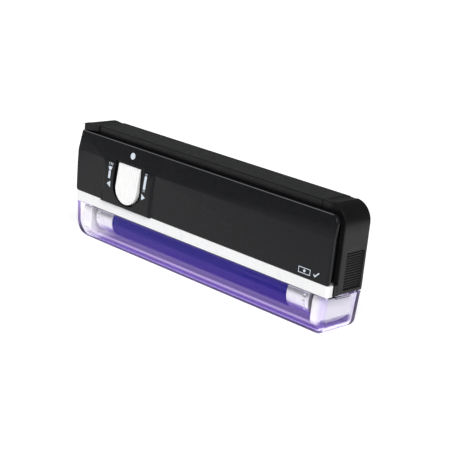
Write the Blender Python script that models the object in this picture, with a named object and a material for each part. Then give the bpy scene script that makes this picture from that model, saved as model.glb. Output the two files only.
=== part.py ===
"""Handheld ultraviolet banknote detector, standing upright on its clear lamp cover.

X runs to the right along the lamp, Y runs from the front panel to the back, Z is up.
The origin is the middle of the lamp cover's flat underside. Every size below is in
millimetres, and mesh_object() and curve_object() turn them into metres.
"""

import math

import bmesh
import bpy
from mathutils import Vector

MM = 0.001
GAP = 0.3  # free space kept between neighbouring pieces

# Overall envelope.
HALF_LENGTH = 80.0
HALF_DEPTH = 11.0
HEIGHT = 54.5
LEFT_END = 80.3  # the left end bows outwards from here
LEFT_BOW = 1.2
BOW_MIDDLE_Z = 40.0
BOW_SPAN = 25.0

# Rear case.
CASE_FRONT = -5.5
CASE_BOTTOM = 17.2
CASE_CORNER = 8.5
CASE_EDGE = 0.9
WALL_LEFT = -78.9
WALL_RIGHT = 78.2
WALL_BACK = 9.2
FLOOR_BOTTOM = 22.4
FLOOR_TOP = 24.2
LEFT_WALL_FRONT = -8.9
FLARE_FRONT = -9.2
POCKET_BACK = 7.2
POCKET_TOP = 51.3

# Front cover.
COVER_RIGHT = 79.0
COVER_BOTTOM = 22.2
COVER_TOP = 51.2
COVER_BACK = -9.2
COVER_EDGE = 0.7
COVER_CORNER = 4.0
TOP_LEFT_CORNER = 0.5
CREASE_Z = 41.8
BAND_SLOPE = 0.194  # the upper band leans back by this much per millimetre of height
SKIRT_LEFT, SKIRT_RIGHT = -78.5, 77.3
SKIRT_BOTTOM, SKIRT_TOP = 22.7, 49.5
SKIRT_WALL = 1.3
SKIRT_BACK = -5.8
BROW_FLOOR, BROW_TOP = 50.6, 51.15  # step that fills the slot in front of the battery cover
BROW_FRONT, BROW_RIB = -8.2, -6.3

# Switch.
KNOB_X = -43.5
KNOB_HALF_WIDTH = 7.3
KNOB_BOTTOM, KNOB_TOP = 24.0, 42.3
KNOB_FRONT, KNOB_BACK = -12.9, -10.6
KNOB_TOP_FRONT = -11.4  # the thumb pad is a wedge, thinnest along its top edge
KNOB_CORNER = 0.4
SWITCH_TRAVEL = 2.0
WELL_SIDE_ROOM = SWITCH_TRAVEL + 0.4
WELL_END_ROOM = 0.8
WELL_FLOOR = -10.3
PLATE_LEFT, PLATE_RIGHT = -62.0, -26.0
PLATE_PROUD = 1.1
PLATE_LIP, PLATE_LIP_BOTTOM = 0.8, 21.65  # the plate hangs a little way in front of the strip
PLATE_SIDE_SLOPE = 1.9  # the plate's sides flare by this much per millimetre of depth
PLATE_CURVE_HEIGHT = 11.3
STEM_HALF_WIDTH, STEM_HALF_HEIGHT = 2.2, 4.0
SWITCH_Z = 33.5
LEVER_X = -51.0
LEVER_HALF = 1.5
CARRIAGE_FRONT, CARRIAGE_BACK = -8.9, -7.5

# Ribbed grip panel on the right end.
GRIP_FRONT, GRIP_BACK = -2.1, 9.1
GRIP_BOTTOM, GRIP_TOP = 18.9, 35.0
GRIP_DEPTH = 0.4
GRIP_GROOVES = 15

# Battery cover and its hinge.
DOOR_LEFT, DOOR_RIGHT = -73.0, 67.0
HINGE_Y, HINGE_Z = 9.0, 25.0
BARREL = 2.0
DOOR_BACK_WALL, DOOR_TOP_WALL, DOOR_LIP_WALL = 1.7, 1.4, 1.4
DOOR_INNER_CURVE = 1.2
DOOR_LIP_BOTTOM = 51.0
HINGE_PIN_RADIUS, HINGE_PIN_LENGTH = 0.9, 1.6

# Battery bay and AA cells.
BAY_LEFT, BAY_RIGHT = -42.2, 65.6
BAY_FLOOR = 23.8
BAY_FRONT = -5.9
BAY_WALL_FRONT = -6.9
BAY_WALL_LEFT, BAY_WALL_RIGHT = -43.6, 68.8
CELL_RADIUS, CELL_LENGTH = 7.1, 50.3
CELL_Y = 1.5
CELL_ROWS = (31.2, 45.7)

# Lamp: a 4 W T5 tube.
TUBE_RADIUS = 8.0
TUBE_Z = 11.6
GLASS_END = 55.6
GLASS_WALL = 1.0
CAP_END = 68.0
PIN_RADIUS, PIN_LENGTH, PIN_SPACING = 1.15, 6.4, 4.8
SOCKET_INNER, SOCKET_OUTER = 70.4, 76.5

# Clear lamp cover and white reflector.
LENS_HALF_LENGTH = 79.9
LENS_HALF_DEPTH = 10.9
LENS_TOP = 16.7
LENS_WALL = 1.5
LENS_LEFT_CURVE, LENS_RIGHT_CURVE, LENS_EDGE_CURVE = 8.5, 4.2, 3.2
LENS_UPRIGHT_CORNER = 1.2
LENS_LEFT_DRAFT, LENS_RIGHT_DRAFT = 1.7, 1.4
RIM_HEIGHT, RIM_PROUD = 1.1, 0.1
STRIP_BOTTOM, STRIP_TOP = 17.0, 21.9
REFLECTOR_RADIUS, REFLECTOR_WALL = 9.0, 1.2
REFLECTOR_HALF_LENGTH = 76.6

# Case screws, driven from the back.
SCREWS = ((-75.8, 30.5), (-75.8, 47.9), (73.5, 30.5), (73.5, 43.0))
BOSS_RADIUS, SCREW_RADIUS, HEAD_RADIUS = 2.6, 1.2, 2.0
HEAD_SEAT, HEAD_HEIGHT = 4.1, 1.6
POST_BACK, BOSS_FRONT = -2.0, -1.7

# Torch in the left end.
TORCH_Y, TORCH_Z = 1.5, 39.2
TORCH_RADIUS = 4.5

# Circuit board.
BOARD_LEFT, BOARD_RIGHT = -70.0, -44.6
BOARD_BOTTOM, BOARD_TOP = 25.2, 50.4
BOARD_FRONT, BOARD_BACK = -2.4, -0.8

# Way through the case floor for the lamp's wires.
WIRE_WAY_X, WIRE_WAY_Y, WIRE_WAY_RADIUS = -65.0, 3.2, 1.6
WIRE_RADIUS = 0.45

# Cutters run out to these places, well clear of the object.
FAR_LEFT, FAR_RIGHT = -90.0, 90.0
FAR_FRONT, FAR_BACK = -16.0, 14.0
FAR_BELOW, FAR_ABOVE = 5.0, 58.0

ARC_STEPS = 6
ROUND_SIDES = 32

MATERIALS = {
    "case_plastic": ((0.030, 0.031, 0.034), 0.42, 0.0),
    "panel_plastic": ((0.024, 0.025, 0.030), 0.36, 0.0),
    "white_plastic": ((0.86, 0.86, 0.85), 0.45, 0.0),
    "clear_plastic": ((0.90, 0.88, 0.95), 0.08, 0.0),
    "lamp_glass": ((0.05, 0.03, 0.30), 0.10, 0.0),
    "aluminium": ((0.80, 0.80, 0.82), 0.30, 1.0),
    "brass": ((0.72, 0.56, 0.26), 0.35, 1.0),
    "nickel": ((0.72, 0.71, 0.69), 0.28, 1.0),
    "steel": ((0.45, 0.45, 0.46), 0.35, 1.0),
    "board": ((0.10, 0.28, 0.14), 0.50, 0.0),
    "dark_part": ((0.06, 0.06, 0.06), 0.50, 0.0),
    "copper": ((0.70, 0.32, 0.16), 0.35, 1.0),
    "capacitor_sleeve": ((0.06, 0.10, 0.32), 0.35, 0.0),
    "resistor_body": ((0.72, 0.60, 0.40), 0.50, 0.0),
    "battery_sleeve": ((0.10, 0.30, 0.55), 0.35, 0.0),
    "chrome": ((0.85, 0.85, 0.86), 0.10, 1.0),
    "lens_plastic": ((0.92, 0.94, 0.96), 0.05, 0.0),
    "red_wire": ((0.55, 0.04, 0.03), 0.50, 0.0),
    "black_wire": ((0.03, 0.03, 0.03), 0.50, 0.0),
}


# ---------------------------------------------------------------- building blocks


def clear_scene():
    for old in list(bpy.data.objects):
        bpy.data.objects.remove(old)


def make_material(name):
    colour, roughness, metallic = MATERIALS[name]
    material = bpy.data.materials.get(name) or bpy.data.materials.new(name)
    material.use_nodes = True
    shader = material.node_tree.nodes["Principled BSDF"]
    shader.inputs["Base Color"].default_value = (*colour, 1.0)
    shader.inputs["Roughness"].default_value = roughness
    shader.inputs["Metallic"].default_value = metallic
    return material


def make_empty(name, place):
    empty = bpy.data.objects.new(name, None)
    empty.location = Vector(place) * MM
    bpy.context.scene.collection.objects.link(empty)
    return empty


def mesh_object(name, points, faces, pivot=(0, 0, 0)):
    """A closed mesh from points in millimetres, with its origin at the pivot."""
    mesh = bpy.data.meshes.new(name)
    mesh.from_pydata([(Vector(p) - Vector(pivot)) * MM for p in points], [], faces)
    work = bmesh.new()
    work.from_mesh(mesh)
    bmesh.ops.recalc_face_normals(work, faces=work.faces)
    work.to_mesh(mesh)
    work.free()
    made = bpy.data.objects.new(name, mesh)
    made.location = Vector(pivot) * MM
    bpy.context.scene.collection.objects.link(made)
    return made


def loft(name, rings, pivot=(0, 0, 0)):
    """Joins rings of equal point counts with quads and closes both ends."""
    count = len(rings[0])
    points = [point for ring in rings for point in ring]
    faces = [list(range(count)), [len(points) - count + i for i in range(count)]]
    for row in range(len(rings) - 1):
        low, high = row * count, (row + 1) * count
        for i in range(count):
            j = (i + 1) % count
            faces.append([low + i, low + j, high + j, high + i])
    return mesh_object(name, points, faces, pivot)


def place_on_axis(axis, along, flat):
    """A 3-D point from a distance along one axis and two coordinates across it."""
    coordinates = list(flat)
    coordinates.insert("XYZ".index(axis), along)
    return coordinates


def prism(name, outline, axis, low, high, pivot=(0, 0, 0)):
    """An outline pushed along an axis. The outline's two numbers keep X, Y, Z order."""
    rings = [[place_on_axis(axis, at, p) for p in outline] for at in (low, high)]
    return loft(name, rings, pivot)


def box(name, low, high, pivot=(0, 0, 0)):
    outline = [(low[1], low[2]), (high[1], low[2]), (high[1], high[2]), (low[1], high[2])]
    return prism(name, outline, "X", low[0], high[0], pivot)


def arc(centre, radius, start, end, steps=ARC_STEPS):
    """Points on a circle from one angle to another, in degrees, both ends included."""
    angles = [math.radians(start + (end - start) * i / steps) for i in range(steps + 1)]
    return [
        (centre[0] + radius * math.cos(a), centre[1] + radius * math.sin(a)) for a in angles
    ]


def circle(centre, radius, sides=ROUND_SIDES):
    return arc(centre, radius, 0, 360, sides)[:-1]


def rod(name, centre, radius, axis, low, high, sides=ROUND_SIDES, pivot=(0, 0, 0)):
    return prism(name, circle(centre, radius, sides), axis, low, high, pivot)


def turned(name, profile, centre, axis, sides=ROUND_SIDES, pivot=(0, 0, 0)):
    """A round piece from (distance along the axis, radius) pairs, closed at both ends."""
    rings = []
    for along, radius in profile:
        rings.append([place_on_axis(axis, along, p) for p in circle(centre, radius, sides)])
    return loft(name, rings, pivot)


def rounded_rectangle(left, right, bottom, top, radius, steps=ARC_STEPS):
    points = arc((left + radius, bottom + radius), radius, 180, 270, steps)
    points += arc((right - radius, bottom + radius), radius, 270, 360, steps)
    points += arc((right - radius, top - radius), radius, 0, 90, steps)
    points += arc((left + radius, top - radius), radius, 90, 180, steps)
    return points


def boolean(target, operation, *tools):
    """Cuts the tools from the target or joins them to it. The tools stay as guides."""
    for tool in tools:
        modifier = target.modifiers.new(tool.name, "BOOLEAN")
        modifier.operation = operation
        modifier.solver = "EXACT"
        modifier.object = tool
        tool.hide_render = True
        tool.display_type = "WIRE"
    return target


def cut(target, *tools):
    return boolean(target, "DIFFERENCE", *tools)


def add(target, *tools):
    return boolean(target, "UNION", *tools)


def merge(name, pieces):
    """One mesh that holds several separate bodies, such as a set of screws."""
    work = bmesh.new()
    for piece in pieces:
        shape = piece.data
        shape.transform(piece.matrix_basis)
        work.from_mesh(shape)
        bpy.data.objects.remove(piece)
    mesh = bpy.data.meshes.new(name)
    work.to_mesh(mesh)
    work.free()
    made = bpy.data.objects.new(name, mesh)
    bpy.context.scene.collection.objects.link(made)
    return made


def finish(piece, material, parent, smooth_angle=35):
    """Gives a piece its material, its shading and its parent empty."""
    piece.data.materials.clear()
    piece.data.materials.append(make_material(material))
    if piece.type == "MESH":
        piece.data.shade_smooth()
        piece.data.set_sharp_from_angle(angle=math.radians(smooth_angle))
    piece.location = piece.location - parent.location
    piece.parent = parent
    return piece


def curve_object(name, route, radius):
    """A wire along a smooth curve through the route's points."""
    points = smooth_route(route, 10 * radius)
    curve = bpy.data.curves.new(name, "CURVE")
    curve.dimensions = "3D"
    curve.bevel_depth = radius * MM
    curve.bevel_resolution = 1
    curve.use_fill_caps = True
    spline = curve.splines.new("POLY")
    spline.points.add(len(points) - 1)
    for target, point in zip(spline.points, points):
        target.co = (*(point * MM), 1.0)
    made = bpy.data.objects.new(name, curve)
    bpy.context.scene.collection.objects.link(made)
    return made


def smooth_route(route, spacing):
    """Points along a Catmull-Rom curve through the route, about one spacing apart."""
    ends = [Vector(route[0])] + [Vector(p) for p in route] + [Vector(route[-1])]
    points = []
    for i in range(1, len(ends) - 2):
        before, start, end, after = ends[i - 1 : i + 3]
        pieces = max(2, round((end - start).length / spacing))
        for k in range(pieces):
            t = k / pieces
            points.append(
                0.5
                * (
                    2 * start
                    + (end - before) * t
                    + (2 * before - 5 * start + 4 * end - after) * t**2
                    + (3 * start - before - 3 * end + after) * t**3
                )
            )
    points.append(ends[-1])
    return points


# ---------------------------------------------------------------- case shells


def bowed_left(z):
    """X of the bowed left end at height z."""
    return -(LEFT_END + LEFT_BOW * (1 - ((z - BOW_MIDDLE_Z) / BOW_SPAN) ** 2))


def shell_outline(inset, right, bottom, top, top_right, top_left, lower, lift=1.0):
    """The case's front outline, counter-clockwise, drawn in by an inset.

    lift is the share of the inset that the bottom edge takes.
    """
    right, top, bottom = right - inset, top - inset, bottom + inset * lift
    top_right, top_left = top_right - inset * 0.6, max(top_left - inset * 0.6, 0.4)
    low_left = bowed_left(bottom + lower) + inset
    high_left = bowed_left(top - top_left) + inset
    points = arc((low_left + lower, bottom + lower), lower, 180, 270)
    points += arc((right - lower, bottom + lower), lower, 270, 360)
    points += arc((right - top_right, top - top_right), top_right, 0, 90)
    points += arc((high_left + top_left, top - top_left), top_left, 90, 180)
    start, end = top - top_left, bottom + lower
    steps = 2 * ARC_STEPS
    for i in range(1, steps):
        z = start + (end - start) * i / steps
        points.append((bowed_left(z) + inset, z))
    return points


def rounded_steps(radius, steps=ARC_STEPS // 2):
    """(depth, inset) pairs round a quarter of an edge, from its side to its face."""
    turns = [math.radians(90 * i / steps) for i in range(1, steps + 1)]
    return [(radius * math.sin(a), radius * (1 - math.cos(a))) for a in turns]


def make_rear_case(parent):
    def ring(y, inset):
        outline = shell_outline(
            inset, HALF_LENGTH, CASE_BOTTOM, HEIGHT, CASE_CORNER, 0.7, 0.8, lift=0.0
        )
        return [(x, y, z) for x, z in outline]

    edge_start = HALF_DEPTH - CASE_EDGE
    rings = [ring(CASE_FRONT, 0), ring(edge_start, 0)]
    rings += [ring(edge_start + depth, inset) for depth, inset in rounded_steps(CASE_EDGE)]
    case = loft("rear_case", rings)
    add(case, *case_front_additions())
    cut(case, lamp_recess(), electronics_pocket(), right_pocket())
    cut(case, battery_bay(), door_recess())
    add(case, merge("case_bosses", [boss(x, z) for x, z in SCREWS]))
    cut(case, merge("case_holes", case_holes()))
    cut(case, merge("finger_scoops", finger_scoops()))
    cut(case, grip_recess())
    cut(case, merge("grip_grooves", grip_grooves()))
    return finish(case, "case_plastic", parent)


def case_front_additions():
    """Walls that stand forward of the case's front rim."""
    low, high, steps = CASE_BOTTOM + 1, HEIGHT - 1.5, 8
    heights = [low + (high - low) * i / steps for i in range(steps + 1)]
    left = [(bowed_left(z), z) for z in heights]
    left += [(WALL_LEFT, heights[-1]), (WALL_LEFT, heights[0])]
    left_wall = prism("left_wall", left, "Y", LEFT_WALL_FRONT, CASE_FRONT + 0.5)
    lean_back(left_wall)
    flare_corner, flare_left = 1.5, bowed_left(HEIGHT) + 0.3
    flare_centre = (flare_left + flare_corner, FLARE_FRONT + flare_corner)
    flare_plan = [
        *arc(flare_centre, flare_corner, 180, 270),
        (DOOR_LEFT + 0.5, CASE_FRONT - 0.1),
        (DOOR_LEFT + 0.5, CASE_FRONT + 0.5),
        (flare_left, CASE_FRONT + 0.5),
    ]
    flare = prism("left_flare", flare_plan, "Z", COVER_TOP + GAP, HEIGHT - 0.1)
    bay_wall = box(
        "bay_wall",
        (BAY_WALL_LEFT, BAY_WALL_FRONT, SKIRT_BOTTOM + SKIRT_WALL + GAP),
        (BAY_WALL_RIGHT, CASE_FRONT + 0.5, SKIRT_TOP - SKIRT_WALL - GAP),
    )
    right_toe = box(
        "right_toe",
        (WALL_RIGHT - 0.5, -7.4, CASE_BOTTOM + 0.1),
        (HALF_LENGTH - 0.05, CASE_FRONT + 0.5, FLOOR_BOTTOM - 0.4),
    )
    return left_wall, flare, bay_wall, right_toe


def lamp_recess():
    """Room for the reflector under the case, open below and in front."""
    corner_rise, corner_run = 2.2, 4.7
    profile = [
        (FAR_FRONT, FAR_BELOW),
        (WALL_BACK, FAR_BELOW),
        (WALL_BACK, FLOOR_BOTTOM - corner_rise),
        (WALL_BACK - corner_run, FLOOR_BOTTOM),
        (FAR_FRONT, FLOOR_BOTTOM),
    ]
    return prism("lamp_recess", profile, "X", WALL_LEFT, WALL_RIGHT)


def electronics_pocket():
    """Left-hand chamber for the switch, the board and the torch, open in front."""
    step_back, step_top = 4.8, 28.6  # clear of the hinge barrel's channel
    profile = [
        (FAR_FRONT, FLOOR_TOP),
        (step_back, FLOOR_TOP),
        (step_back, step_top),
        (POCKET_BACK, step_top),
        (POCKET_BACK, POCKET_TOP),
        (FAR_FRONT, POCKET_TOP),
    ]
    return prism("electronics_pocket", profile, "X", WALL_LEFT, BAY_WALL_LEFT)


def right_pocket():
    """Chamber beside the battery bay, for the right-hand screw posts."""
    right, top = 77.4, 46.5
    return box("right_pocket", (BAY_WALL_RIGHT, FAR_FRONT, FLOOR_TOP), (right, POCKET_BACK, top))


def battery_bay():
    return box("battery_bay", (BAY_LEFT, BAY_FRONT, BAY_FLOOR), (BAY_RIGHT, FAR_BACK, FAR_ABOVE))


def door_recess():
    """The battery cover's own outline with a gap round it."""
    inner_back = HALF_DEPTH - DOOR_BACK_WALL - GAP
    barrel_room = BARREL + GAP
    meeting = math.degrees(math.acos((inner_back - HINGE_Y) / barrel_room))
    lip_inside = CASE_FRONT + DOOR_LIP_WALL + GAP
    profile = [(FAR_BACK, HINGE_Z - barrel_room), (HINGE_Y, HINGE_Z - barrel_room)]
    profile += arc((HINGE_Y, HINGE_Z), barrel_room, 270, meeting, 2 * ARC_STEPS)[1:]
    profile += door_inner_corner(DOOR_INNER_CURVE - GAP)
    profile += [
        (lip_inside, HEIGHT - DOOR_TOP_WALL - GAP),
        (lip_inside, DOOR_LIP_BOTTOM - GAP),
        (FAR_FRONT, DOOR_LIP_BOTTOM - GAP),
        (FAR_FRONT, FAR_ABOVE),
        (FAR_BACK, FAR_ABOVE),
    ]
    return prism("door_recess", profile, "X", DOOR_LEFT, DOOR_RIGHT)


def door_inner_corner(radius):
    """The curve inside the door where its back wall turns into its top wall."""
    centre_y = HALF_DEPTH - DOOR_BACK_WALL - DOOR_INNER_CURVE
    centre_z = HEIGHT - DOOR_TOP_WALL - DOOR_INNER_CURVE
    return arc((centre_y, centre_z), radius, 0, 90, 3)


def boss(x, z):
    return rod("boss", (x, z), BOSS_RADIUS, "Y", BOSS_FRONT, POCKET_BACK + 0.5)


def case_holes():
    """Screw holes, hinge sockets, the torch's window and the lamp wires' way down."""
    holes = []
    for x, z in SCREWS:
        profile = [
            (BOSS_FRONT - 1, SCREW_RADIUS + GAP),
            (HEAD_SEAT, SCREW_RADIUS + GAP),
            (HEAD_SEAT, HEAD_RADIUS + GAP),
            (HALF_DEPTH + 1, HEAD_RADIUS + GAP),
        ]
        holes.append(turned("screw_hole", profile, (x, z), "Y"))
    reach = HINGE_PIN_LENGTH + GAP
    socket = HINGE_PIN_RADIUS + GAP
    for low, high in ((DOOR_LEFT - reach, DOOR_LEFT + 1), (DOOR_RIGHT - 1, DOOR_RIGHT + reach)):
        holes.append(rod("hinge_socket", (HINGE_Y, HINGE_Z), socket, "X", low, high, 16))
    window = (TORCH_Y, TORCH_Z)
    holes.append(rod("torch_window", window, TORCH_RADIUS + GAP, "X", FAR_LEFT, WALL_LEFT + 1))
    way = (WIRE_WAY_X, WIRE_WAY_Y)
    holes.append(rod("wire_way", way, WIRE_WAY_RADIUS, "Z", FLOOR_BOTTOM - 1, FLOOR_TOP + 1, 16))
    return holes


def finger_scoops():
    """Shallow hollows across the top, beside both ends of the battery cover."""
    radius, depth, front = 8.0, 0.45, -3.0
    centre_z = HEIGHT + radius - depth
    return [
        rod("scoop", (x, centre_z), radius, "Y", front, HALF_DEPTH + 1)
        for x in (DOOR_LEFT - 3.0, DOOR_RIGHT + 2.8)
    ]


def grip_recess():
    outline = rounded_rectangle(GRIP_FRONT, GRIP_BACK, GRIP_BOTTOM, GRIP_TOP, 0.5, 2)
    return prism("grip_recess", outline, "X", HALF_LENGTH - GRIP_DEPTH, FAR_RIGHT)


def grip_grooves():
    """Level V-shaped grooves with flat bottoms across the grip panel on the right end."""
    pitch = (GRIP_TOP - GRIP_BOTTOM) / GRIP_GROOVES
    face = HALF_LENGTH - GRIP_DEPTH
    mouth, bottom, depth, margin = 0.32 * pitch, 0.13 * pitch, 0.45, 0.4
    grooves = []
    for i in range(GRIP_GROOVES):
        z = GRIP_BOTTOM + pitch * (i + 0.5)
        profile = [
            (face + 0.2, z - mouth),
            (face + 0.2, z + mouth),
            (face - depth, z + bottom),
            (face - depth, z - bottom),
        ]
        grooves.append(prism("groove", profile, "Y", GRIP_FRONT + margin, GRIP_BACK - margin))
    return grooves


def make_front_cover(parent):
    def ring(y, inset):
        outline = shell_outline(
            inset, COVER_RIGHT, COVER_BOTTOM, COVER_TOP, COVER_CORNER, TOP_LEFT_CORNER, 1.3
        )
        return [(x, y, z) for x, z in outline]

    face = -HALF_DEPTH
    rings = [ring(COVER_BACK, 0), ring(face + COVER_EDGE, 0)]
    rings += [ring(face + COVER_EDGE - d, inset) for d, inset in rounded_steps(COVER_EDGE)]
    cover = loft("front_cover", rings)
    lean_back(cover)
    add(cover, skirt(), brow(), switch_plate())
    add(cover, merge("cover_posts", [post(x, z) for x, z in SCREWS]))
    cut(cover, switch_well(), merge("cover_holes", cover_holes()))
    return finish(cover, "panel_plastic", parent)


def lean_back(piece):
    """Creases a piece at CREASE_Z and leans everything above it backwards."""
    reshape_above(piece, CREASE_Z, lambda y, rise: y + BAND_SLOPE * rise)


def reshape_above(piece, crease, new_y):
    """Creases a piece at a height and moves each point above it to new_y(y, rise)."""
    level = crease * MM - piece.location.z
    work = bmesh.new()
    work.from_mesh(piece.data)
    bmesh.ops.bisect_plane(
        work,
        geom=work.verts[:] + work.edges[:] + work.faces[:],
        plane_co=(0, 0, level),
        plane_no=(0, 0, 1),
        dist=1e-7,
    )
    for vertex in work.verts:
        rise = (vertex.co.z - level) / MM
        if rise > 0:
            vertex.co.y = new_y(vertex.co.y / MM, rise) * MM
    work.to_mesh(piece.data)
    work.free()


def skirt():
    """The wall behind the panel that plugs into the case's rim."""
    sides = (SKIRT_LEFT, SKIRT_RIGHT, SKIRT_BOTTOM, SKIRT_TOP)
    outer = rounded_rectangle(*sides, 3.0)
    inner = [side + step for side, step in zip(sides, (SKIRT_WALL, -SKIRT_WALL) * 2)]
    inner = rounded_rectangle(*inner, 1.8)
    front = COVER_BACK - 0.1
    rings = []
    for outline, y in ((outer, front), (outer, SKIRT_BACK), (inner, SKIRT_BACK), (inner, front)):
        rings.append([(x, y, z) for x, z in outline])
    return tube_between("skirt", rings)


def brow():
    """A step along the cover's top that hides the slot in front of the battery cover."""
    profile = [
        (BROW_FRONT, SKIRT_TOP - 0.1),
        (SKIRT_BACK, SKIRT_TOP - 0.1),
        (SKIRT_BACK, BROW_TOP),
        (BROW_RIB, BROW_TOP),
        (BROW_RIB, BROW_FLOOR),
        (BROW_FRONT, BROW_FLOOR),
    ]
    return prism("brow", profile, "X", DOOR_LEFT, DOOR_RIGHT)


def tube_between(name, rings):
    """Joins rings in a closed loop, so that the result has a hole through it."""
    count = len(rings[0])
    points = [point for ring in rings for point in ring]
    faces = []
    for row in range(len(rings)):
        low, high = row * count, (row + 1) % len(rings) * count
        for i in range(count):
            j = (i + 1) % count
            faces.append([low + i, low + j, high + j, high + i])
    return mesh_object(name, points, faces)


def switch_plate():
    """The raised field round the knob, which grows out of the leaning band."""
    face = -HALF_DEPTH
    front, lip_back = face - PLATE_PROUD, face - PLATE_PROUD + PLATE_LIP
    profile = [(COVER_BACK - 0.5, COVER_BOTTOM), (lip_back, COVER_BOTTOM)]
    profile += [(lip_back, PLATE_LIP_BOTTOM), (front + 0.3, PLATE_LIP_BOTTOM)]
    profile.append((front, PLATE_LIP_BOTTOM + 0.3))
    steps = 8
    for i in range(steps + 1):
        rise = i / steps
        z = CREASE_Z - PLATE_CURVE_HEIGHT * (1 - rise)
        profile.append((face - PLATE_PROUD * (1 - rise**2) - 0.01, z))
    profile.append((COVER_BACK - 0.5, CREASE_Z))
    plate = prism("switch_plate", profile, "X", PLATE_LEFT, PLATE_RIGHT)
    middle = (PLATE_LEFT + PLATE_RIGHT) / 2
    for vertex in plate.data.vertices:
        drawn_in = PLATE_SIDE_SLOPE * max(0.0, face * MM - vertex.co.y)
        vertex.co.x -= math.copysign(drawn_in, vertex.co.x - middle * MM)
    return plate


def knob_outline(side_room=0.0, end_room=0.0):
    """A D lying on its round side: flat top, half-round bottom."""
    half = KNOB_HALF_WIDTH + side_room
    bottom, top = KNOB_BOTTOM - end_room, KNOB_TOP + end_room
    round_height = KNOB_HALF_WIDTH + end_room
    corner = KNOB_CORNER
    points = []
    steps = 3 * ARC_STEPS
    for i in range(steps + 1):
        a = math.radians(180 + 180 * i / steps)
        points.append(
            (KNOB_X + half * math.cos(a), bottom + round_height * (1 + math.sin(a)))
        )
    points += arc((KNOB_X + half - corner, top - corner), corner, 0, 90)
    points += arc((KNOB_X - half + corner, top - corner), corner, 90, 180)
    return points


def switch_well():
    outline = knob_outline(WELL_SIDE_ROOM, WELL_END_ROOM)
    return prism("switch_well", outline, "Y", FAR_FRONT, WELL_FLOOR)


def post(x, z):
    return rod("post", (x, z), BOSS_RADIUS, "Y", COVER_BACK - 0.1, POST_BACK)


def cover_holes():
    """The knob stem's slot and the screws' blind holes."""
    slot_half = STEM_HALF_WIDTH + SWITCH_TRAVEL + 0.4
    holes = [
        box(
            "stem_slot",
            (KNOB_X - slot_half, WELL_FLOOR - 1, SWITCH_Z - STEM_HALF_HEIGHT - GAP),
            (KNOB_X + slot_half, COVER_BACK + 1, SWITCH_Z + STEM_HALF_HEIGHT + GAP),
        )
    ]
    for x, z in SCREWS:
        holes.append(rod("pilot", (x, z), SCREW_RADIUS + GAP, "Y", -7.9, POST_BACK + 1, 16))
    return holes


def make_battery_cover(parent):
    """The L-shaped back and top door, with its hinge barrel along the lower edge."""
    pivot = (0, HINGE_Y, HINGE_Z)
    back, top, front = HALF_DEPTH, HEIGHT, CASE_FRONT
    inner_back = back - DOOR_BACK_WALL
    meeting = math.degrees(math.acos((inner_back - HINGE_Y) / BARREL))
    profile = [(front, DOOR_LIP_BOTTOM)]
    profile += arc((front + 0.6, top - 0.6), 0.6, 180, 90, 3)
    profile += arc((back - CASE_EDGE, top - CASE_EDGE), CASE_EDGE, 90, 0)
    profile += arc((HINGE_Y, HINGE_Z), BARREL, 0, meeting - 360, 3 * ARC_STEPS)
    profile += door_inner_corner(DOOR_INNER_CURVE)
    profile.append((front + DOOR_LIP_WALL, top - DOOR_TOP_WALL))
    profile.append((front + DOOR_LIP_WALL, DOOR_LIP_BOTTOM))
    door = prism("battery_cover", profile, "X", DOOR_LEFT + GAP, DOOR_RIGHT - GAP, pivot)
    pins = []
    for side, edge in ((-1, DOOR_LEFT + GAP), (1, DOOR_RIGHT - GAP)):
        low, high = sorted((edge - side, edge + side * HINGE_PIN_LENGTH))
        centre = (HINGE_Y, HINGE_Z)
        pins.append(rod("hinge_pin", centre, HINGE_PIN_RADIUS, "X", low, high, 16))
    add(door, merge("hinge_pins", pins))
    return finish(door, "case_plastic", parent)


# ---------------------------------------------------------------- lamp end


def lens_ring(z, offset):
    """The lamp cover's outline at height z, drawn in by an offset."""
    height = z - offset

    def drawn_in(curve):
        radius = curve - offset
        if height >= radius:
            return 0.0
        return radius - math.sqrt(radius**2 - (radius - height) ** 2)

    taper = max(0.0, 1 - z / LENS_TOP)
    length = LENS_HALF_LENGTH - offset
    left = drawn_in(LENS_LEFT_CURVE) + LENS_LEFT_DRAFT * taper - length
    right = length - LENS_RIGHT_DRAFT * taper - drawn_in(LENS_RIGHT_CURVE)
    half_depth = LENS_HALF_DEPTH - offset - drawn_in(LENS_EDGE_CURVE)
    corner = max(LENS_UPRIGHT_CORNER - offset, 0.8)
    outline = rounded_rectangle(left, right, -half_depth, half_depth, corner)
    return [(x, y, z) for x, y in outline]


def make_lamp_cover(parent):
    """The clear trough under the lamp, with a bead round its rim and two snap tabs."""
    turns = [1 - math.cos(math.radians(15 * i)) for i in range(7)]
    bead = LENS_TOP - RIM_HEIGHT
    rings = [lens_ring(LENS_LEFT_CURVE * turn, 0) for turn in turns]
    rings += [lens_ring(bead, 0), lens_ring(bead + 0.2, -RIM_PROUD)]
    rings += [lens_ring(LENS_TOP, -RIM_PROUD), lens_ring(LENS_TOP, LENS_WALL)]
    inner_curve = LENS_LEFT_CURVE - LENS_WALL
    rings += [lens_ring(LENS_WALL + inner_curve * turn, LENS_WALL) for turn in reversed(turns)]
    lens = loft("lamp_cover", rings)
    add(lens, merge("snap_tabs", [snap_tab(-1), snap_tab(1)]))
    return finish(lens, "clear_plastic", parent)


def snap_tab(side):
    """A springy tongue inside an end wall, which reaches up into the case."""
    profile = [(77.0, 15.3), (78.7, 15.3), (78.7, 16.3), (77.9, 16.6), (77.9, 20.6), (77.0, 20.6)]
    return prism("snap_tab", [(side * x, z) for x, z in profile], "Y", -4.0, 4.0)


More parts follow.
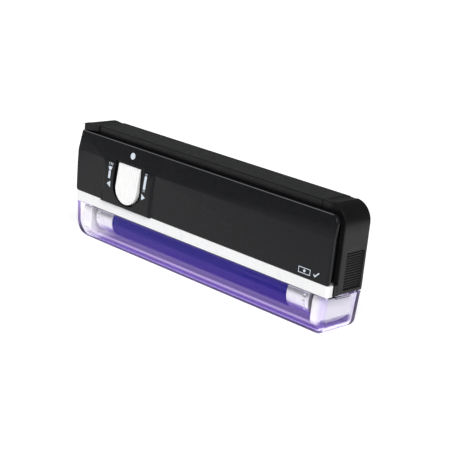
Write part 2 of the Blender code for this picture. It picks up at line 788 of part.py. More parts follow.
def make_reflector(parent):
    """The white arch over the tube, with the strip that shows between the covers."""
    top, bottom = STRIP_TOP, STRIP_BOTTOM
    outer = REFLECTOR_RADIUS + REFLECTOR_WALL
    ledge = bottom + REFLECTOR_WALL
    outer_end = math.degrees(math.asin((ledge - TUBE_Z) / outer))
    inner_end = math.degrees(math.asin((bottom - TUBE_Z) / REFLECTOR_RADIUS))
    strip_back = -HALF_DEPTH + 1.2
    profile = [(strip_back - 0.4, bottom), (strip_back - 0.4, ledge)]
    profile += arc((0, TUBE_Z), outer, 180 - outer_end, outer_end, 3 * ARC_STEPS)
    profile += [(WALL_BACK - GAP, ledge), (WALL_BACK - GAP, bottom)]
    profile += arc((0, TUBE_Z), REFLECTOR_RADIUS, inner_end, 180 - inner_end, 3 * ARC_STEPS)
    arch = prism("reflector", profile, "X", -REFLECTOR_HALF_LENGTH, REFLECTOR_HALF_LENGTH)
    plan = strip_plan()
    add(arch, prism("strip", plan, "Z", bottom + 0.001, top))
    return finish(arch, "white_plastic", parent)


def strip_plan():
    """The strip seen from above: a shallow tray edge with a return at each end."""
    left, right, front, wall = -80.3, 79.4, -HALF_DEPTH, 1.2
    radius = 1.3
    points = [(left, -9.5)]
    points += arc((left + radius, front + radius), radius, 180, 270)
    points += arc((right - radius, front + radius), radius, 270, 360)
    points += [(right, -7.7), (right - wall, -7.7), (right - wall, front + wall)]
    points += [(left + wall, front + wall), (left + wall, -9.5)]
    return points


def make_lamp(parent):
    centre = (0, TUBE_Z)
    outer, inner = TUBE_RADIUS - 0.1, TUBE_RADIUS - 0.1 - GLASS_WALL
    profile = ((-GLASS_END, outer), (GLASS_END, outer), (GLASS_END, inner), (-GLASS_END, inner))
    rings = [[(x, y, z) for y, z in circle(centre, radius)] for x, radius in profile]
    finish(tube_between("lamp_tube", rings), "lamp_glass", parent)
    for side, end in ((-1, "left"), (1, "right")):
        finish(lamp_cap(side, end), "aluminium", parent)
        finish(lamp_socket(side, end), "white_plastic", parent)
        for direction, level in ((-1, "lower"), (1, "upper")):
            z = TUBE_Z + direction * PIN_SPACING / 2
            finish(lamp_pin(side, f"lamp_pin_{end}_{level}", z), "brass", parent)
            finish(lamp_contact(side, f"lamp_contact_{end}_{level}", z), "brass", parent)


def lamp_cap(side, end):
    """A tube end cap: a spigot inside the glass, a barrel and a slightly domed end."""
    spigot, spigot_length = TUBE_RADIUS - 0.1 - GLASS_WALL - GAP, 3.0
    profile = [
        (GLASS_END - spigot_length, spigot),
        (GLASS_END + GAP, spigot),
        (GLASS_END + GAP, TUBE_RADIUS - 0.15),
        (GLASS_END + GAP + 0.4, TUBE_RADIUS),
        (CAP_END - 1.2, TUBE_RADIUS),
        (CAP_END - 0.35, TUBE_RADIUS - 0.45),
        (CAP_END, TUBE_RADIUS - 1.4),
    ]
    return turned(f"lamp_cap_{end}", [(side * x, r) for x, r in profile], (0, TUBE_Z), "X")


def lamp_pin(side, name, z):
    start, end = CAP_END + GAP, CAP_END + PIN_LENGTH
    profile = [(start, PIN_RADIUS), (end - 0.5, PIN_RADIUS), (end, PIN_RADIUS - 0.5)]
    return turned(name, [(side * x, r) for x, r in profile], (0, z), "X", 16)


def lamp_socket(side, end):
    """A white end block with a pocket that takes the lamp's two pins."""
    half, bottom, corner = 8.5, 2.3, 3.2
    outline = arc((0, TUBE_Z), half, 0, 180, 3 * ARC_STEPS)
    outline += arc((-half + corner, bottom + corner), corner, 180, 270)
    outline += arc((half - corner, bottom + corner), corner, 270, 360)
    low, high = sorted((side * SOCKET_INNER, side * SOCKET_OUTER))
    block = prism(f"lamp_socket_{end}", outline, "X", low, high)
    low, high = sorted((side * (SOCKET_INNER - 1), side * (SOCKET_OUTER - 1.2)))
    pocket = rounded_rectangle(-2.4, 2.4, TUBE_Z - 5.2, TUBE_Z + 5.2, 1.0)
    toe = [(side * x, z) for x, z in ((71.8, 2.0), (77.5, 2.0), (77.5, 7.4))]
    chamfer = prism(f"socket_chamfer_{end}", toe, "Y", -10.0, 10.0)
    return cut(block, prism(f"pin_pocket_{end}", pocket, "X", low, high), chamfer)


def lamp_contact(side, name, z):
    """A brass leaf beside a pin, bent outwards where the pin comes in."""
    near, far = 1.55, 1.85
    outline = [
        (SOCKET_INNER + 0.6, near + 0.25),
        (SOCKET_INNER + 0.6, far + 0.25),
        (SOCKET_INNER + 1.6, far),
        (SOCKET_OUTER - 1.6, far),
        (SOCKET_OUTER - 1.6, near),
        (SOCKET_INNER + 1.6, near),
    ]
    plan = [(side * x, across) for x, across in outline]
    return prism(name, plan, "Z", z - 1.2, z + 1.2)


# ---------------------------------------------------------------- switch


def make_switch(moving, parent):
    pivot = (KNOB_X, 0, SWITCH_Z)
    finish(knob(pivot), "white_plastic", moving)
    carriage = box(
        "switch_carriage",
        (-57.0, CARRIAGE_FRONT, SWITCH_Z - 5.5),
        (-36.0, CARRIAGE_BACK, SWITCH_Z + 5.5),
        pivot,
    )
    hole = LEVER_HALF + GAP
    cut(
        carriage,
        box(
            "fork",
            (LEVER_X - hole, CARRIAGE_FRONT - 1, SWITCH_Z - hole),
            (LEVER_X + hole, CARRIAGE_BACK + 1, SWITCH_Z + hole),
        ),
    )
    finish(carriage, "dark_part", moving)
    lever = box(
        "slide_switch_lever",
        (LEVER_X - LEVER_HALF, CARRIAGE_FRONT + GAP, SWITCH_Z - LEVER_HALF),
        (LEVER_X + LEVER_HALF, -6.0, SWITCH_Z + LEVER_HALF),
        pivot,
    )
    finish(lever, "dark_part", moving)
    half_length, half_height, front, back = 6.5, 3.25, -7.2, -2.7
    body = box(
        "slide_switch_body",
        (LEVER_X - half_length, front, SWITCH_Z - half_height),
        (LEVER_X + half_length, back, SWITCH_Z + half_height),
    )
    room = LEVER_HALF + SWITCH_TRAVEL + 0.4
    cut(
        body,
        box(
            "lever_slot",
            (LEVER_X - room, front - 1, SWITCH_Z - LEVER_HALF - GAP),
            (LEVER_X + room, front + 1.5, SWITCH_Z + LEVER_HALF + GAP),
        ),
    )
    finish(body, "nickel", parent)


def knob(pivot):
    """The white thumb pad, a wedge with a rounded front edge, and the stem behind it."""
    outline = knob_outline()
    middle = Vector((KNOB_X, SWITCH_Z))

    def ring(y, inset):
        points = []
        for x, z in outline:
            shrink = Vector((x, z)) - middle
            shrink = shrink * (1 - inset / KNOB_HALF_WIDTH)
            points.append((KNOB_X + shrink.x, y, SWITCH_Z + shrink.y))
        return points

    edge = 0.6
    rings = [ring(KNOB_BACK, 0), ring(KNOB_FRONT + edge, 0)]
    rings += [ring(KNOB_FRONT + edge - d, inset) for d, inset in rounded_steps(edge)]
    pad = loft("switch_knob", rings, pivot)
    wedge_start = KNOB_BOTTOM + KNOB_HALF_WIDTH
    thinning = (KNOB_TOP_FRONT - KNOB_FRONT) / (KNOB_BACK - KNOB_FRONT) / (KNOB_TOP - wedge_start)
    reshape_above(
        pad, wedge_start, lambda y, rise: KNOB_BACK + (y - KNOB_BACK) * (1 - thinning * rise)
    )
    stem = box(
        "knob_stem",
        (KNOB_X - STEM_HALF_WIDTH, KNOB_BACK - 0.5, SWITCH_Z - STEM_HALF_HEIGHT),
        (KNOB_X + STEM_HALF_WIDTH, CARRIAGE_FRONT - GAP, SWITCH_Z + STEM_HALF_HEIGHT),
    )
    return add(pad, stem)


# ---------------------------------------------------------------- electronics


def make_electronics(parent):
    board = box(
        "circuit_board",
        (BOARD_LEFT, BOARD_FRONT, BOARD_BOTTOM),
        (BOARD_RIGHT, BOARD_BACK, BOARD_TOP),
    )
    finish(board, "board", parent)
    make_transformer(parent)
    near = BOARD_BACK + GAP
    transistor = box("power_transistor", (-68.6, near, 30.4), (-60.6, near + 2.7, 41.0))
    finish(transistor, "dark_part", parent)
    film = box("film_capacitor", (-68.4, near, 43.4), (-61.4, near + 4.0, 49.4))
    finish(film, "resistor_body", parent)
    for number, x in enumerate((-56.4, -49.2), start=1):
        profile = [(near, 2.9), (near + 5.8, 2.9), (near + 6.2, 2.5)]
        can = turned(f"electrolytic_capacitor_{number}", profile, (x, 33.0), "Y", 20)
        finish(can, "capacitor_sleeve", parent)
    for number, x in enumerate((-66.6, -63.4), start=1):
        profile = [(30.0, 0.3), (31.4, 0.3), (31.4, 1.0), (37.0, 1.0), (37.0, 0.3), (38.4, 0.3)]
        centre = (x, BOARD_FRONT - GAP - 1.0)
        resistor = turned(f"resistor_{number}", profile, centre, "Z", 12)
        finish(resistor, "resistor_body", parent)


def make_transformer(parent):
    """A ferrite core with two windows, and the coil that fills them and laps its back."""
    low = Vector((-59.0, BOARD_BACK + GAP, 37.6))
    high = Vector((-46.0, BOARD_BACK + GAP + 6.0, 49.8))
    side, leg, middle_leg = 2.2, 2.0, 1.7
    middle = (low.z + high.z) / 2
    core = box("transformer_core", low, high)
    spans = ((low.z + leg, middle - middle_leg), (middle + middle_leg, high.z - leg))
    windows = [
        box("window", (low.x + side, low.y - 1, start), (high.x - side, high.y + 1, end))
        for start, end in spans
    ]
    cut(core, merge("core_windows", windows))
    finish(core, "dark_part", parent)
    room = side + GAP
    halves = [
        box(
            "coil",
            (low.x + room, low.y + 1.0, start + GAP),
            (high.x - room, high.y + 0.6, end - GAP),
        )
        for start, end in spans
    ]
    lap_low = (low.x + room, high.y + GAP, spans[0][0] + GAP + 0.1)
    lap_high = (high.x - room, high.y + 0.6, spans[1][1] - GAP - 0.1)
    winding = box("transformer_winding", lap_low, lap_high)
    add(winding, merge("coil_halves", halves))
    finish(winding, "copper", parent)


def make_torch(parent):
    centre = (TORCH_Y, TORCH_Z)
    window = bowed_left(TORCH_Z)
    lens_profile = [
        (window + 0.2, TORCH_RADIUS - 1.2),
        (window + 0.5, TORCH_RADIUS),
        (WALL_LEFT + GAP, TORCH_RADIUS),
        (WALL_LEFT + GAP, TORCH_RADIUS + 0.7),
        (WALL_LEFT + 1.3, TORCH_RADIUS + 0.7),
    ]
    finish(turned("torch_lens", lens_profile, centre, "X"), "lens_plastic", parent)
    front, back = WALL_LEFT + 1.3 + GAP, -71.8
    cup = [(front, 4.9), (front + 0.6, 4.9), (back, 3.4), (back, 2.8), (-74.0, 2.9)]
    cup += [(front + 0.8, 4.3), (front, 4.4)]
    rings = [[(x, y, z) for y, z in circle(centre, r, 24)] for x, r in cup]
    finish(tube_between("torch_reflector", rings), "chrome", parent)
    led = [(-75.6, 0.9), (-75.2, 1.8), (-74.2, 2.4), (-71.4, 2.4), (-71.4, 2.7), (-70.6, 2.7)]
    finish(turned("torch_led", led, centre, "X", 24), "lens_plastic", parent)


# ---------------------------------------------------------------- batteries


def make_batteries(parent):
    lower, upper = CELL_ROWS
    spring_room = 4.9
    left_plate, right_plate = BAY_LEFT + GAP, BAY_RIGHT - GAP
    plate = 0.5
    start = left_plate + plate + spring_room
    finish(cell("battery_1", start, lower, 1), "battery_sleeve", parent)
    finish(cell("battery_2", start + CELL_LENGTH + GAP, lower, 1), "battery_sleeve", parent)
    start = left_plate + plate + GAP
    finish(cell("battery_3", start, upper, -1), "battery_sleeve", parent)
    finish(cell("battery_4", start + CELL_LENGTH + GAP, upper, -1), "battery_sleeve", parent)
    bridge = box(
        "battery_bridge",
        (left_plate, CELL_Y - 5, lower - 5.5),
        (left_plate + plate, CELL_Y + 5, upper + 5.5),
    )
    finish(bridge, "nickel", parent)
    for name, z in (("battery_plate_positive", lower), ("battery_plate_negative", upper)):
        contact = box(
            name,
            (right_plate - plate, CELL_Y - 5, z - 5.5),
            (right_plate, CELL_Y + 5, z + 5.5),
        )
        finish(contact, "nickel", parent)
    left_spring = spring("battery_spring_left", left_plate + plate + GAP, spring_room - 0.6, 1, lower)
    finish(left_spring, "nickel", parent)
    far_end = start + 2 * CELL_LENGTH + 2 * GAP
    length = right_plate - plate - GAP - far_end
    right_spring = spring("battery_spring_right", right_plate - plate - GAP, length, -1, upper)
    finish(right_spring, "nickel", parent)


def cell(name, start, z, direction):
    """An AA cell. Direction 1 has its raised button at the right."""
    button_radius, button_height = 2.7, 1.4
    body = CELL_LENGTH - button_height
    profile = [
        (0.0, 4.6),
        (0.0, CELL_RADIUS - 0.5),
        (0.4, CELL_RADIUS),
        (body - 0.5, CELL_RADIUS),
        (body, CELL_RADIUS - 0.6),
        (body, button_radius),
        (CELL_LENGTH, button_radius - 0.2),
    ]
    if direction < 0:
        profile = [(CELL_LENGTH - along, radius) for along, radius in profile]
    profile = [(start + along, radius) for along, radius in profile]
    return turned(name, profile, (CELL_Y, z), "X", 28)


def spring(name, base, length, direction, z):
    """A conical contact spring, wide at its base plate and narrow at the cell."""
    wire, turns, steps_per_turn = 0.35, 3.5, 14
    wide, narrow = 4.2, 2.2
    steps = round(turns * steps_per_turn)
    route = []
    for i in range(steps + 1):
        part = i / steps
        angle = 2 * math.pi * turns * part
        radius = wide + (narrow - wide) * part
        along = base + direction * (wire + (length - 2 * wire) * part)
        route.append((along, CELL_Y + radius * math.cos(angle), z + radius * math.sin(angle)))
    return tube_along(name, route, wire, 6)


def tube_along(name, route, radius, sides):
    """A round wire swept along closely spaced points, closed at both ends."""
    points = [Vector(p) for p in route]
    rings = []
    normal = None
    for i, point in enumerate(points):
        ahead = points[min(i + 1, len(points) - 1)] - points[max(i - 1, 0)]
        ahead.normalize()
        if normal is None:
            normal = ahead.orthogonal()
        normal = (normal - ahead * normal.dot(ahead)).normalized()
        side = ahead.cross(normal)
        turns = [2 * math.pi * k / sides for k in range(sides)]
        rings.append(
            [point + normal * radius * math.cos(a) + side * radius * math.sin(a) for a in turns]
        )
    return loft(name, rings)


# ---------------------------------------------------------------- fasteners and wires


def make_screws(parent):
    head = HEAD_SEAT + GAP
    profile = [
        (-7.4, 0.4),
        (-6.2, SCREW_RADIUS),
        (head, SCREW_RADIUS),
        (head, HEAD_RADIUS),
        (head + HEAD_HEIGHT * 0.6, HEAD_RADIUS),
        (head + HEAD_HEIGHT, HEAD_RADIUS * 0.6),
    ]
    for number, (x, z) in enumerate(SCREWS, start=1):
        finish(turned(f"case_screw_{number}", profile, (x, z), "Y", 20), "steel", parent)


def make_wires(parent):
    for name, side, colour in (
        ("lamp_wire_left", -1, "black_wire"),
        ("lamp_wire_right", 1, "red_wire"),
    ):
        x, y = WIRE_WAY_X + side * 0.8, WIRE_WAY_Y
        route = [(x, y - 0.4, 29.4), (x, y, 27.0), (x, y, 24.0), (x, y, 22.2)]
        finish(curve_object(name, route, WIRE_RADIUS), colour, parent)
    front = -7.75
    for name, z, colour in (
        ("battery_wire_positive", 26.4, "red_wire"),
        ("battery_wire_negative", 43.4, "black_wire"),
    ):
        route = [
            (BOARD_RIGHT - 2.0, BOARD_FRONT - 0.9, z),
            (BOARD_RIGHT - 1.8, BOARD_FRONT - 3.2, z),
            (BAY_WALL_LEFT - 1.2, front + 0.2, z),
            *[(BOARD_RIGHT + 4.0 + 15.1 * i, front, z) for i in range(8)],
            (BAY_WALL_RIGHT, front, z),
            (BAY_WALL_RIGHT + 1.1, front + 1.4, z),
            (BAY_WALL_RIGHT + 1.2, front + 5.4, z),
        ]
        finish(curve_object(name, route, WIRE_RADIUS), colour, parent)


def main():
    clear_scene()
    case = make_empty("case_frame", (0, 0, 0))
    door = make_empty("battery_cover_axis", (0, HINGE_Y, HINGE_Z))
    lens = make_empty("lamp_cover_axis", (0, 0, 0))
    knob_axis = make_empty("switch_axis", (KNOB_X, 0, SWITCH_Z))
    make_rear_case(case)
    make_front_cover(case)
    make_battery_cover(door)
    make_lamp_cover(lens)
    make_reflector(case)
    make_lamp(case)
    make_switch(knob_axis, case)
    make_electronics(case)
    make_torch(case)
    make_batteries(case)
    make_screws(case)
    make_wires(case)


main()
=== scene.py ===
import contextlib
import math

import bmesh
import bpy
from mathutils import Matrix, Vector


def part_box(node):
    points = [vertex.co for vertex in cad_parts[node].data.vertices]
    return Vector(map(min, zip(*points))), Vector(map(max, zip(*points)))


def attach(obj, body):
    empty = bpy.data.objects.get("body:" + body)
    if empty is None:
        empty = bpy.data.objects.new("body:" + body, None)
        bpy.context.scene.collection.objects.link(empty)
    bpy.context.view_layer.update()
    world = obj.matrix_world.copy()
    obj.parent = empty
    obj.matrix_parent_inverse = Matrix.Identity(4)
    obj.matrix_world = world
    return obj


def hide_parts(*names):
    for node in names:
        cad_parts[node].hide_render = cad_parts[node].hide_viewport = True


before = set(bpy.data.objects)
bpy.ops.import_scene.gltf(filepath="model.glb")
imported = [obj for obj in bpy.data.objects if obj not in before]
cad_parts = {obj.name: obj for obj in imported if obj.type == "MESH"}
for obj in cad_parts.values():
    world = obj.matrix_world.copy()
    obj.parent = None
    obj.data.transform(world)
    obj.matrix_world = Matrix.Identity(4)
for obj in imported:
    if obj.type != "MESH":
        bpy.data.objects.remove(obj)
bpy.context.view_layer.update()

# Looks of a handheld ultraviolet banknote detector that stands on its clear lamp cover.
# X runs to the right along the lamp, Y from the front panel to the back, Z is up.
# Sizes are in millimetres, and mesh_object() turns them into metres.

MM = 0.001


def span(node):
    """Lowest and highest corner of a CAD node, in millimetres."""
    low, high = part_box(node)
    return low / MM, high / MM


# ---- sizes

CASE_LOW, CASE_HIGH = span("rear_case")
COVER_LOW, COVER_HIGH = span("front_cover")
DOOR_LOW, DOOR_HIGH = span("battery_cover")
KNOB_LOW, KNOB_HIGH = span("switch_knob")
LENS_HIGH = span("lamp_cover")[1]
TUBE_LOW, TUBE_HIGH = span("lamp_tube")
STRIP_LOW, STRIP_HIGH = span("reflector")

GAP = 0.3
HEIGHT = CASE_HIGH.z
HALF_LENGTH, HALF_DEPTH = CASE_HIGH.x, CASE_HIGH.y

# Left end: bows outwards round a middle height.
LEFT_BOW, BOW_MIDDLE_Z, BOW_SPAN = 1.2, 40.0, 25.0
LEFT_END = -CASE_LOW.x - LEFT_BOW

# Rear case.
CASE_FRONT, CASE_BOTTOM = -5.5, CASE_LOW.z
CASE_CORNER, CASE_EDGE = 8.5, 0.9
CASE_TOP_LEFT_CORNER, CASE_LOWER_CORNER = 0.7, 0.8
WALL_LEFT, WALL_RIGHT, WALL_BACK = -78.9, 78.2, 9.2
FLOOR_BOTTOM, FLOOR_TOP = 22.4, 24.2
LEFT_WALL_FRONT, FLARE_FRONT = -8.9, -9.2
POCKET_BACK, POCKET_TOP = 7.2, 51.3

# Front cover with its leaning upper band.
COVER_RIGHT, COVER_BOTTOM, COVER_TOP = COVER_HIGH.x, COVER_LOW.z, 51.2
COVER_BACK, COVER_EDGE, COVER_CORNER, TOP_LEFT_CORNER = -9.2, 0.7, 4.0, 0.5
COVER_LOWER_CORNER = 1.3
CREASE_Z, BAND_SLOPE = 41.8, 0.194
SKIRT_SIDES = (-78.5, 77.3, 22.7, 49.5)
SKIRT_WALL, SKIRT_BACK = 1.3, -5.8
BROW_FLOOR, BROW_TOP, BROW_FRONT, BROW_RIB = 50.6, 51.15, -8.2, -6.3

# Switch.
KNOB_HALF_WIDTH = (KNOB_HIGH.x - KNOB_LOW.x) / 2
KNOB_X = (KNOB_HIGH.x + KNOB_LOW.x) / 2
KNOB_BOTTOM, KNOB_TOP = KNOB_LOW.z, KNOB_HIGH.z
KNOB_FRONT, KNOB_BACK, KNOB_TOP_FRONT = KNOB_LOW.y, -10.6, -11.4
KNOB_CORNER = 0.4
SWITCH_TRAVEL, SWITCH_Z = 2.0, 33.5
WELL_FLOOR = -10.3
PLATE_LEFT, PLATE_RIGHT = -62.0, -26.0
PLATE_PROUD, PLATE_CURVE_HEIGHT = 1.1, 11.3
PLATE_LIP, PLATE_LIP_BOTTOM = 0.8, 21.65  # the plate hangs a little way in front of the strip
PLATE_SIDE_SLOPE = 1.9  # the plate's sides flare by this much per millimetre of depth
STEM_HALF_WIDTH, STEM_HALF_HEIGHT, STEM_BACK = 2.2, 4.0, -9.2

# Grip panel on the right end.
GRIP_FRONT, GRIP_BACK, GRIP_BOTTOM, GRIP_TOP = -2.1, 9.1, 18.9, 35.0
GRIP_DEPTH, GRIP_GROOVES = 0.4, 15

# Battery cover, hinge and bay.
HINGE_Y, HINGE_Z, BARREL = 9.0, 25.0, 2.0
PIN_RADIUS, PIN_LENGTH = 0.9, 1.6
DOOR_LEFT, DOOR_RIGHT = DOOR_LOW.x + PIN_LENGTH, DOOR_HIGH.x - PIN_LENGTH
DOOR_BACK_WALL, DOOR_TOP_WALL, DOOR_LIP_WALL = 1.7, 1.4, 1.4
DOOR_INNER_CURVE, DOOR_LIP_BOTTOM = 1.2, 51.0
BAY_LEFT, BAY_RIGHT, BAY_FLOOR, BAY_FRONT = -42.2, 65.6, 23.8, -5.9
BAY_WALL_LEFT, BAY_WALL_RIGHT, BAY_WALL_FRONT = -43.6, 68.8, -6.9

# Lamp, clear cover and reflector.
TUBE_Z = (TUBE_LOW.z + TUBE_HIGH.z) / 2
TUBE_RADIUS = (TUBE_HIGH.z - TUBE_LOW.z) / 2
LENS_TOP, LENS_WALL = 16.7, 1.5
RIM_HEIGHT, RIM_PROUD = 1.1, 0.1
LENS_HALF_LENGTH, LENS_HALF_DEPTH = LENS_HIGH.x - RIM_PROUD, LENS_HIGH.y - RIM_PROUD
LENS_LEFT_CURVE, LENS_RIGHT_CURVE, LENS_EDGE_CURVE, LENS_UPRIGHT_CORNER = 8.5, 4.2, 3.2, 1.2
LENS_LEFT_DRAFT, LENS_RIGHT_DRAFT = 1.7, 1.4
STRIP_BOTTOM, STRIP_TOP = STRIP_LOW.z, STRIP_HIGH.z
REFLECTOR_RADIUS, REFLECTOR_WALL, REFLECTOR_HALF_LENGTH = 9.0, 1.2, 76.6

# Screws and the torch window in the case.
SCREWS = ((-75.8, 30.5), (-75.8, 47.9), (73.5, 30.5), (73.5, 43.0))
BOSS_RADIUS, SCREW_RADIUS, HEAD_RADIUS, HEAD_SEAT, BOSS_FRONT = 2.6, 1.2, 2.0, 4.1, -1.7
POST_BACK = -2.0
TORCH_Y, TORCH_Z, TORCH_RADIUS = 1.5, 39.2, 4.5
WIRE_WAY = (-65.0, 3.2)
WIRE_WAY_RADIUS = 1.6

FAR = 100.0  # cutters run out this far from the origin
ARC_STEPS = 12
EDGE_STEPS = 6
ROUND_SIDES = 64


# ---- mesh kit


def link(name, data):
    """A new object in the scene, made from a mesh, a light or a camera."""
    made = bpy.data.objects.new(name, data)
    bpy.context.scene.collection.objects.link(made)
    return made


@contextlib.contextmanager
def mesh_edit(mesh):
    """Lends a mesh out as a bmesh, and writes it back afterwards."""
    work = bmesh.new()
    work.from_mesh(mesh)
    yield work
    work.to_mesh(mesh)
    work.free()


def mesh_object(name, points, faces):
    mesh = bpy.data.meshes.new(name)
    mesh.from_pydata([Vector(p) * MM for p in points], [], faces)
    with mesh_edit(mesh) as work:
        bmesh.ops.recalc_face_normals(work, faces=work.faces)
    return link(name, mesh)


def loft(name, rings, closed=False):
    """Joins rings of equal point counts with quads, and caps both ends unless closed."""
    count, total = len(rings[0]), len(rings)
    points = [point for ring in rings for point in ring]
    faces = []
    if not closed:
        faces = [list(range(count)), [len(points) - count + i for i in range(count)]]
    for row in range(total if closed else total - 1):
        low, high = row * count, (row + 1) % total * count
        for i in range(count):
            j = (i + 1) % count
            faces.append([low + i, low + j, high + j, high + i])
    return mesh_object(name, points, faces)


def place_on_axis(axis, along, flat):
    coordinates = list(flat)
    coordinates.insert("XYZ".index(axis), along)
    return coordinates


def prism(name, outline, axis, low, high):
    """An outline pushed along an axis. The outline's two numbers keep X, Y, Z order."""
    return loft(name, [[place_on_axis(axis, at, p) for p in outline] for at in (low, high)])


def box(name, low, high):
    outline = [(low[1], low[2]), (high[1], low[2]), (high[1], high[2]), (low[1], high[2])]
    return prism(name, outline, "X", low[0], high[0])


def arc(centre, radius, start, end, steps=ARC_STEPS):
    angles = [math.radians(start + (end - start) * i / steps) for i in range(steps + 1)]
    return [(centre[0] + radius * math.cos(a), centre[1] + radius * math.sin(a)) for a in angles]


def circle(centre, radius, sides=ROUND_SIDES):
    return arc(centre, radius, 0, 360, sides)[:-1]


def rod(name, centre, radius, axis, low, high, sides=ROUND_SIDES):
    return prism(name, circle(centre, radius, sides), axis, low, high)


def turned(name, profile, centre, axis, sides=ROUND_SIDES, closed=False):
    """A round piece from (distance along the axis, radius) pairs."""
    rings = [[place_on_axis(axis, x, p) for p in circle(centre, r, sides)] for x, r in profile]
    return loft(name, rings, closed)


def lower_corners(left, right, bottom, radius, steps=ARC_STEPS):
    points = arc((left + radius, bottom + radius), radius, 180, 270, steps)
    return points + arc((right - radius, bottom + radius), radius, 270, 360, steps)


def upper_corners(left, right, top, radius, steps=ARC_STEPS):
    points = arc((right - radius, top - radius), radius, 0, 90, steps)
    return points + arc((left + radius, top - radius), radius, 90, 180, steps)


def rounded_rectangle(left, right, bottom, top, radius, steps=ARC_STEPS):
    lower = lower_corners(left, right, bottom, radius, steps)
    return lower + upper_corners(left, right, top, radius, steps)


def bake(piece):
    """Applies a piece's modifiers to its mesh."""
    bpy.context.view_layer.update()
    graph = bpy.context.evaluated_depsgraph_get()
    made = bpy.data.meshes.new_from_object(piece.evaluated_get(graph))
    piece.modifiers.clear()
    piece.data = made
    return piece


def boolean(target, operation, *tools):
    """Joins tools to the target or cuts them from it, one by one, and removes them."""
    for tool in tools:
        modifier = target.modifiers.new(tool.name, "BOOLEAN")
        modifier.operation = operation
        modifier.solver = "EXACT"
        modifier.object = tool
    bake(target)
    for tool in tools:
        bpy.data.objects.remove(tool)
    return target


def cut(target, *tools):
    return boolean(target, "DIFFERENCE", *tools)


def add(target, *tools):
    return boolean(target, "UNION", *tools)


def bevel(piece, width, segments=2, angle=40):
    modifier = piece.modifiers.new("soft_edges", "BEVEL")
    modifier.width = width * MM
    modifier.segments = segments
    modifier.limit_method = "ANGLE"
    modifier.angle_limit = math.radians(angle)
    return modifier


def even_normals(piece, keep_sharp):
    piece.modifiers.new("even_normals", "WEIGHTED_NORMAL").keep_sharp = keep_sharp
    return piece


def soften(piece, width, segments=2, angle=40):
    """Rounds every edge sharper than the angle and smooths the shading."""
    with mesh_edit(piece.data) as work:
        bmesh.ops.remove_doubles(work, verts=work.verts, dist=0.002 * MM)
        bmesh.ops.dissolve_limit(
            work, angle_limit=math.radians(0.3), verts=work.verts, edges=work.edges
        )
    if width:
        modifier = bevel(piece, width, segments, angle)
        modifier.use_clamp_overlap = False
        modifier.miter_outer = "MITER_ARC"
        bake(piece)
    return smooth(piece, angle)


def smooth(piece, angle=40):
    piece.data.shade_smooth()
    piece.data.set_sharp_from_angle(angle=math.radians(angle))
    return even_normals(piece, True)


# ---- node materials


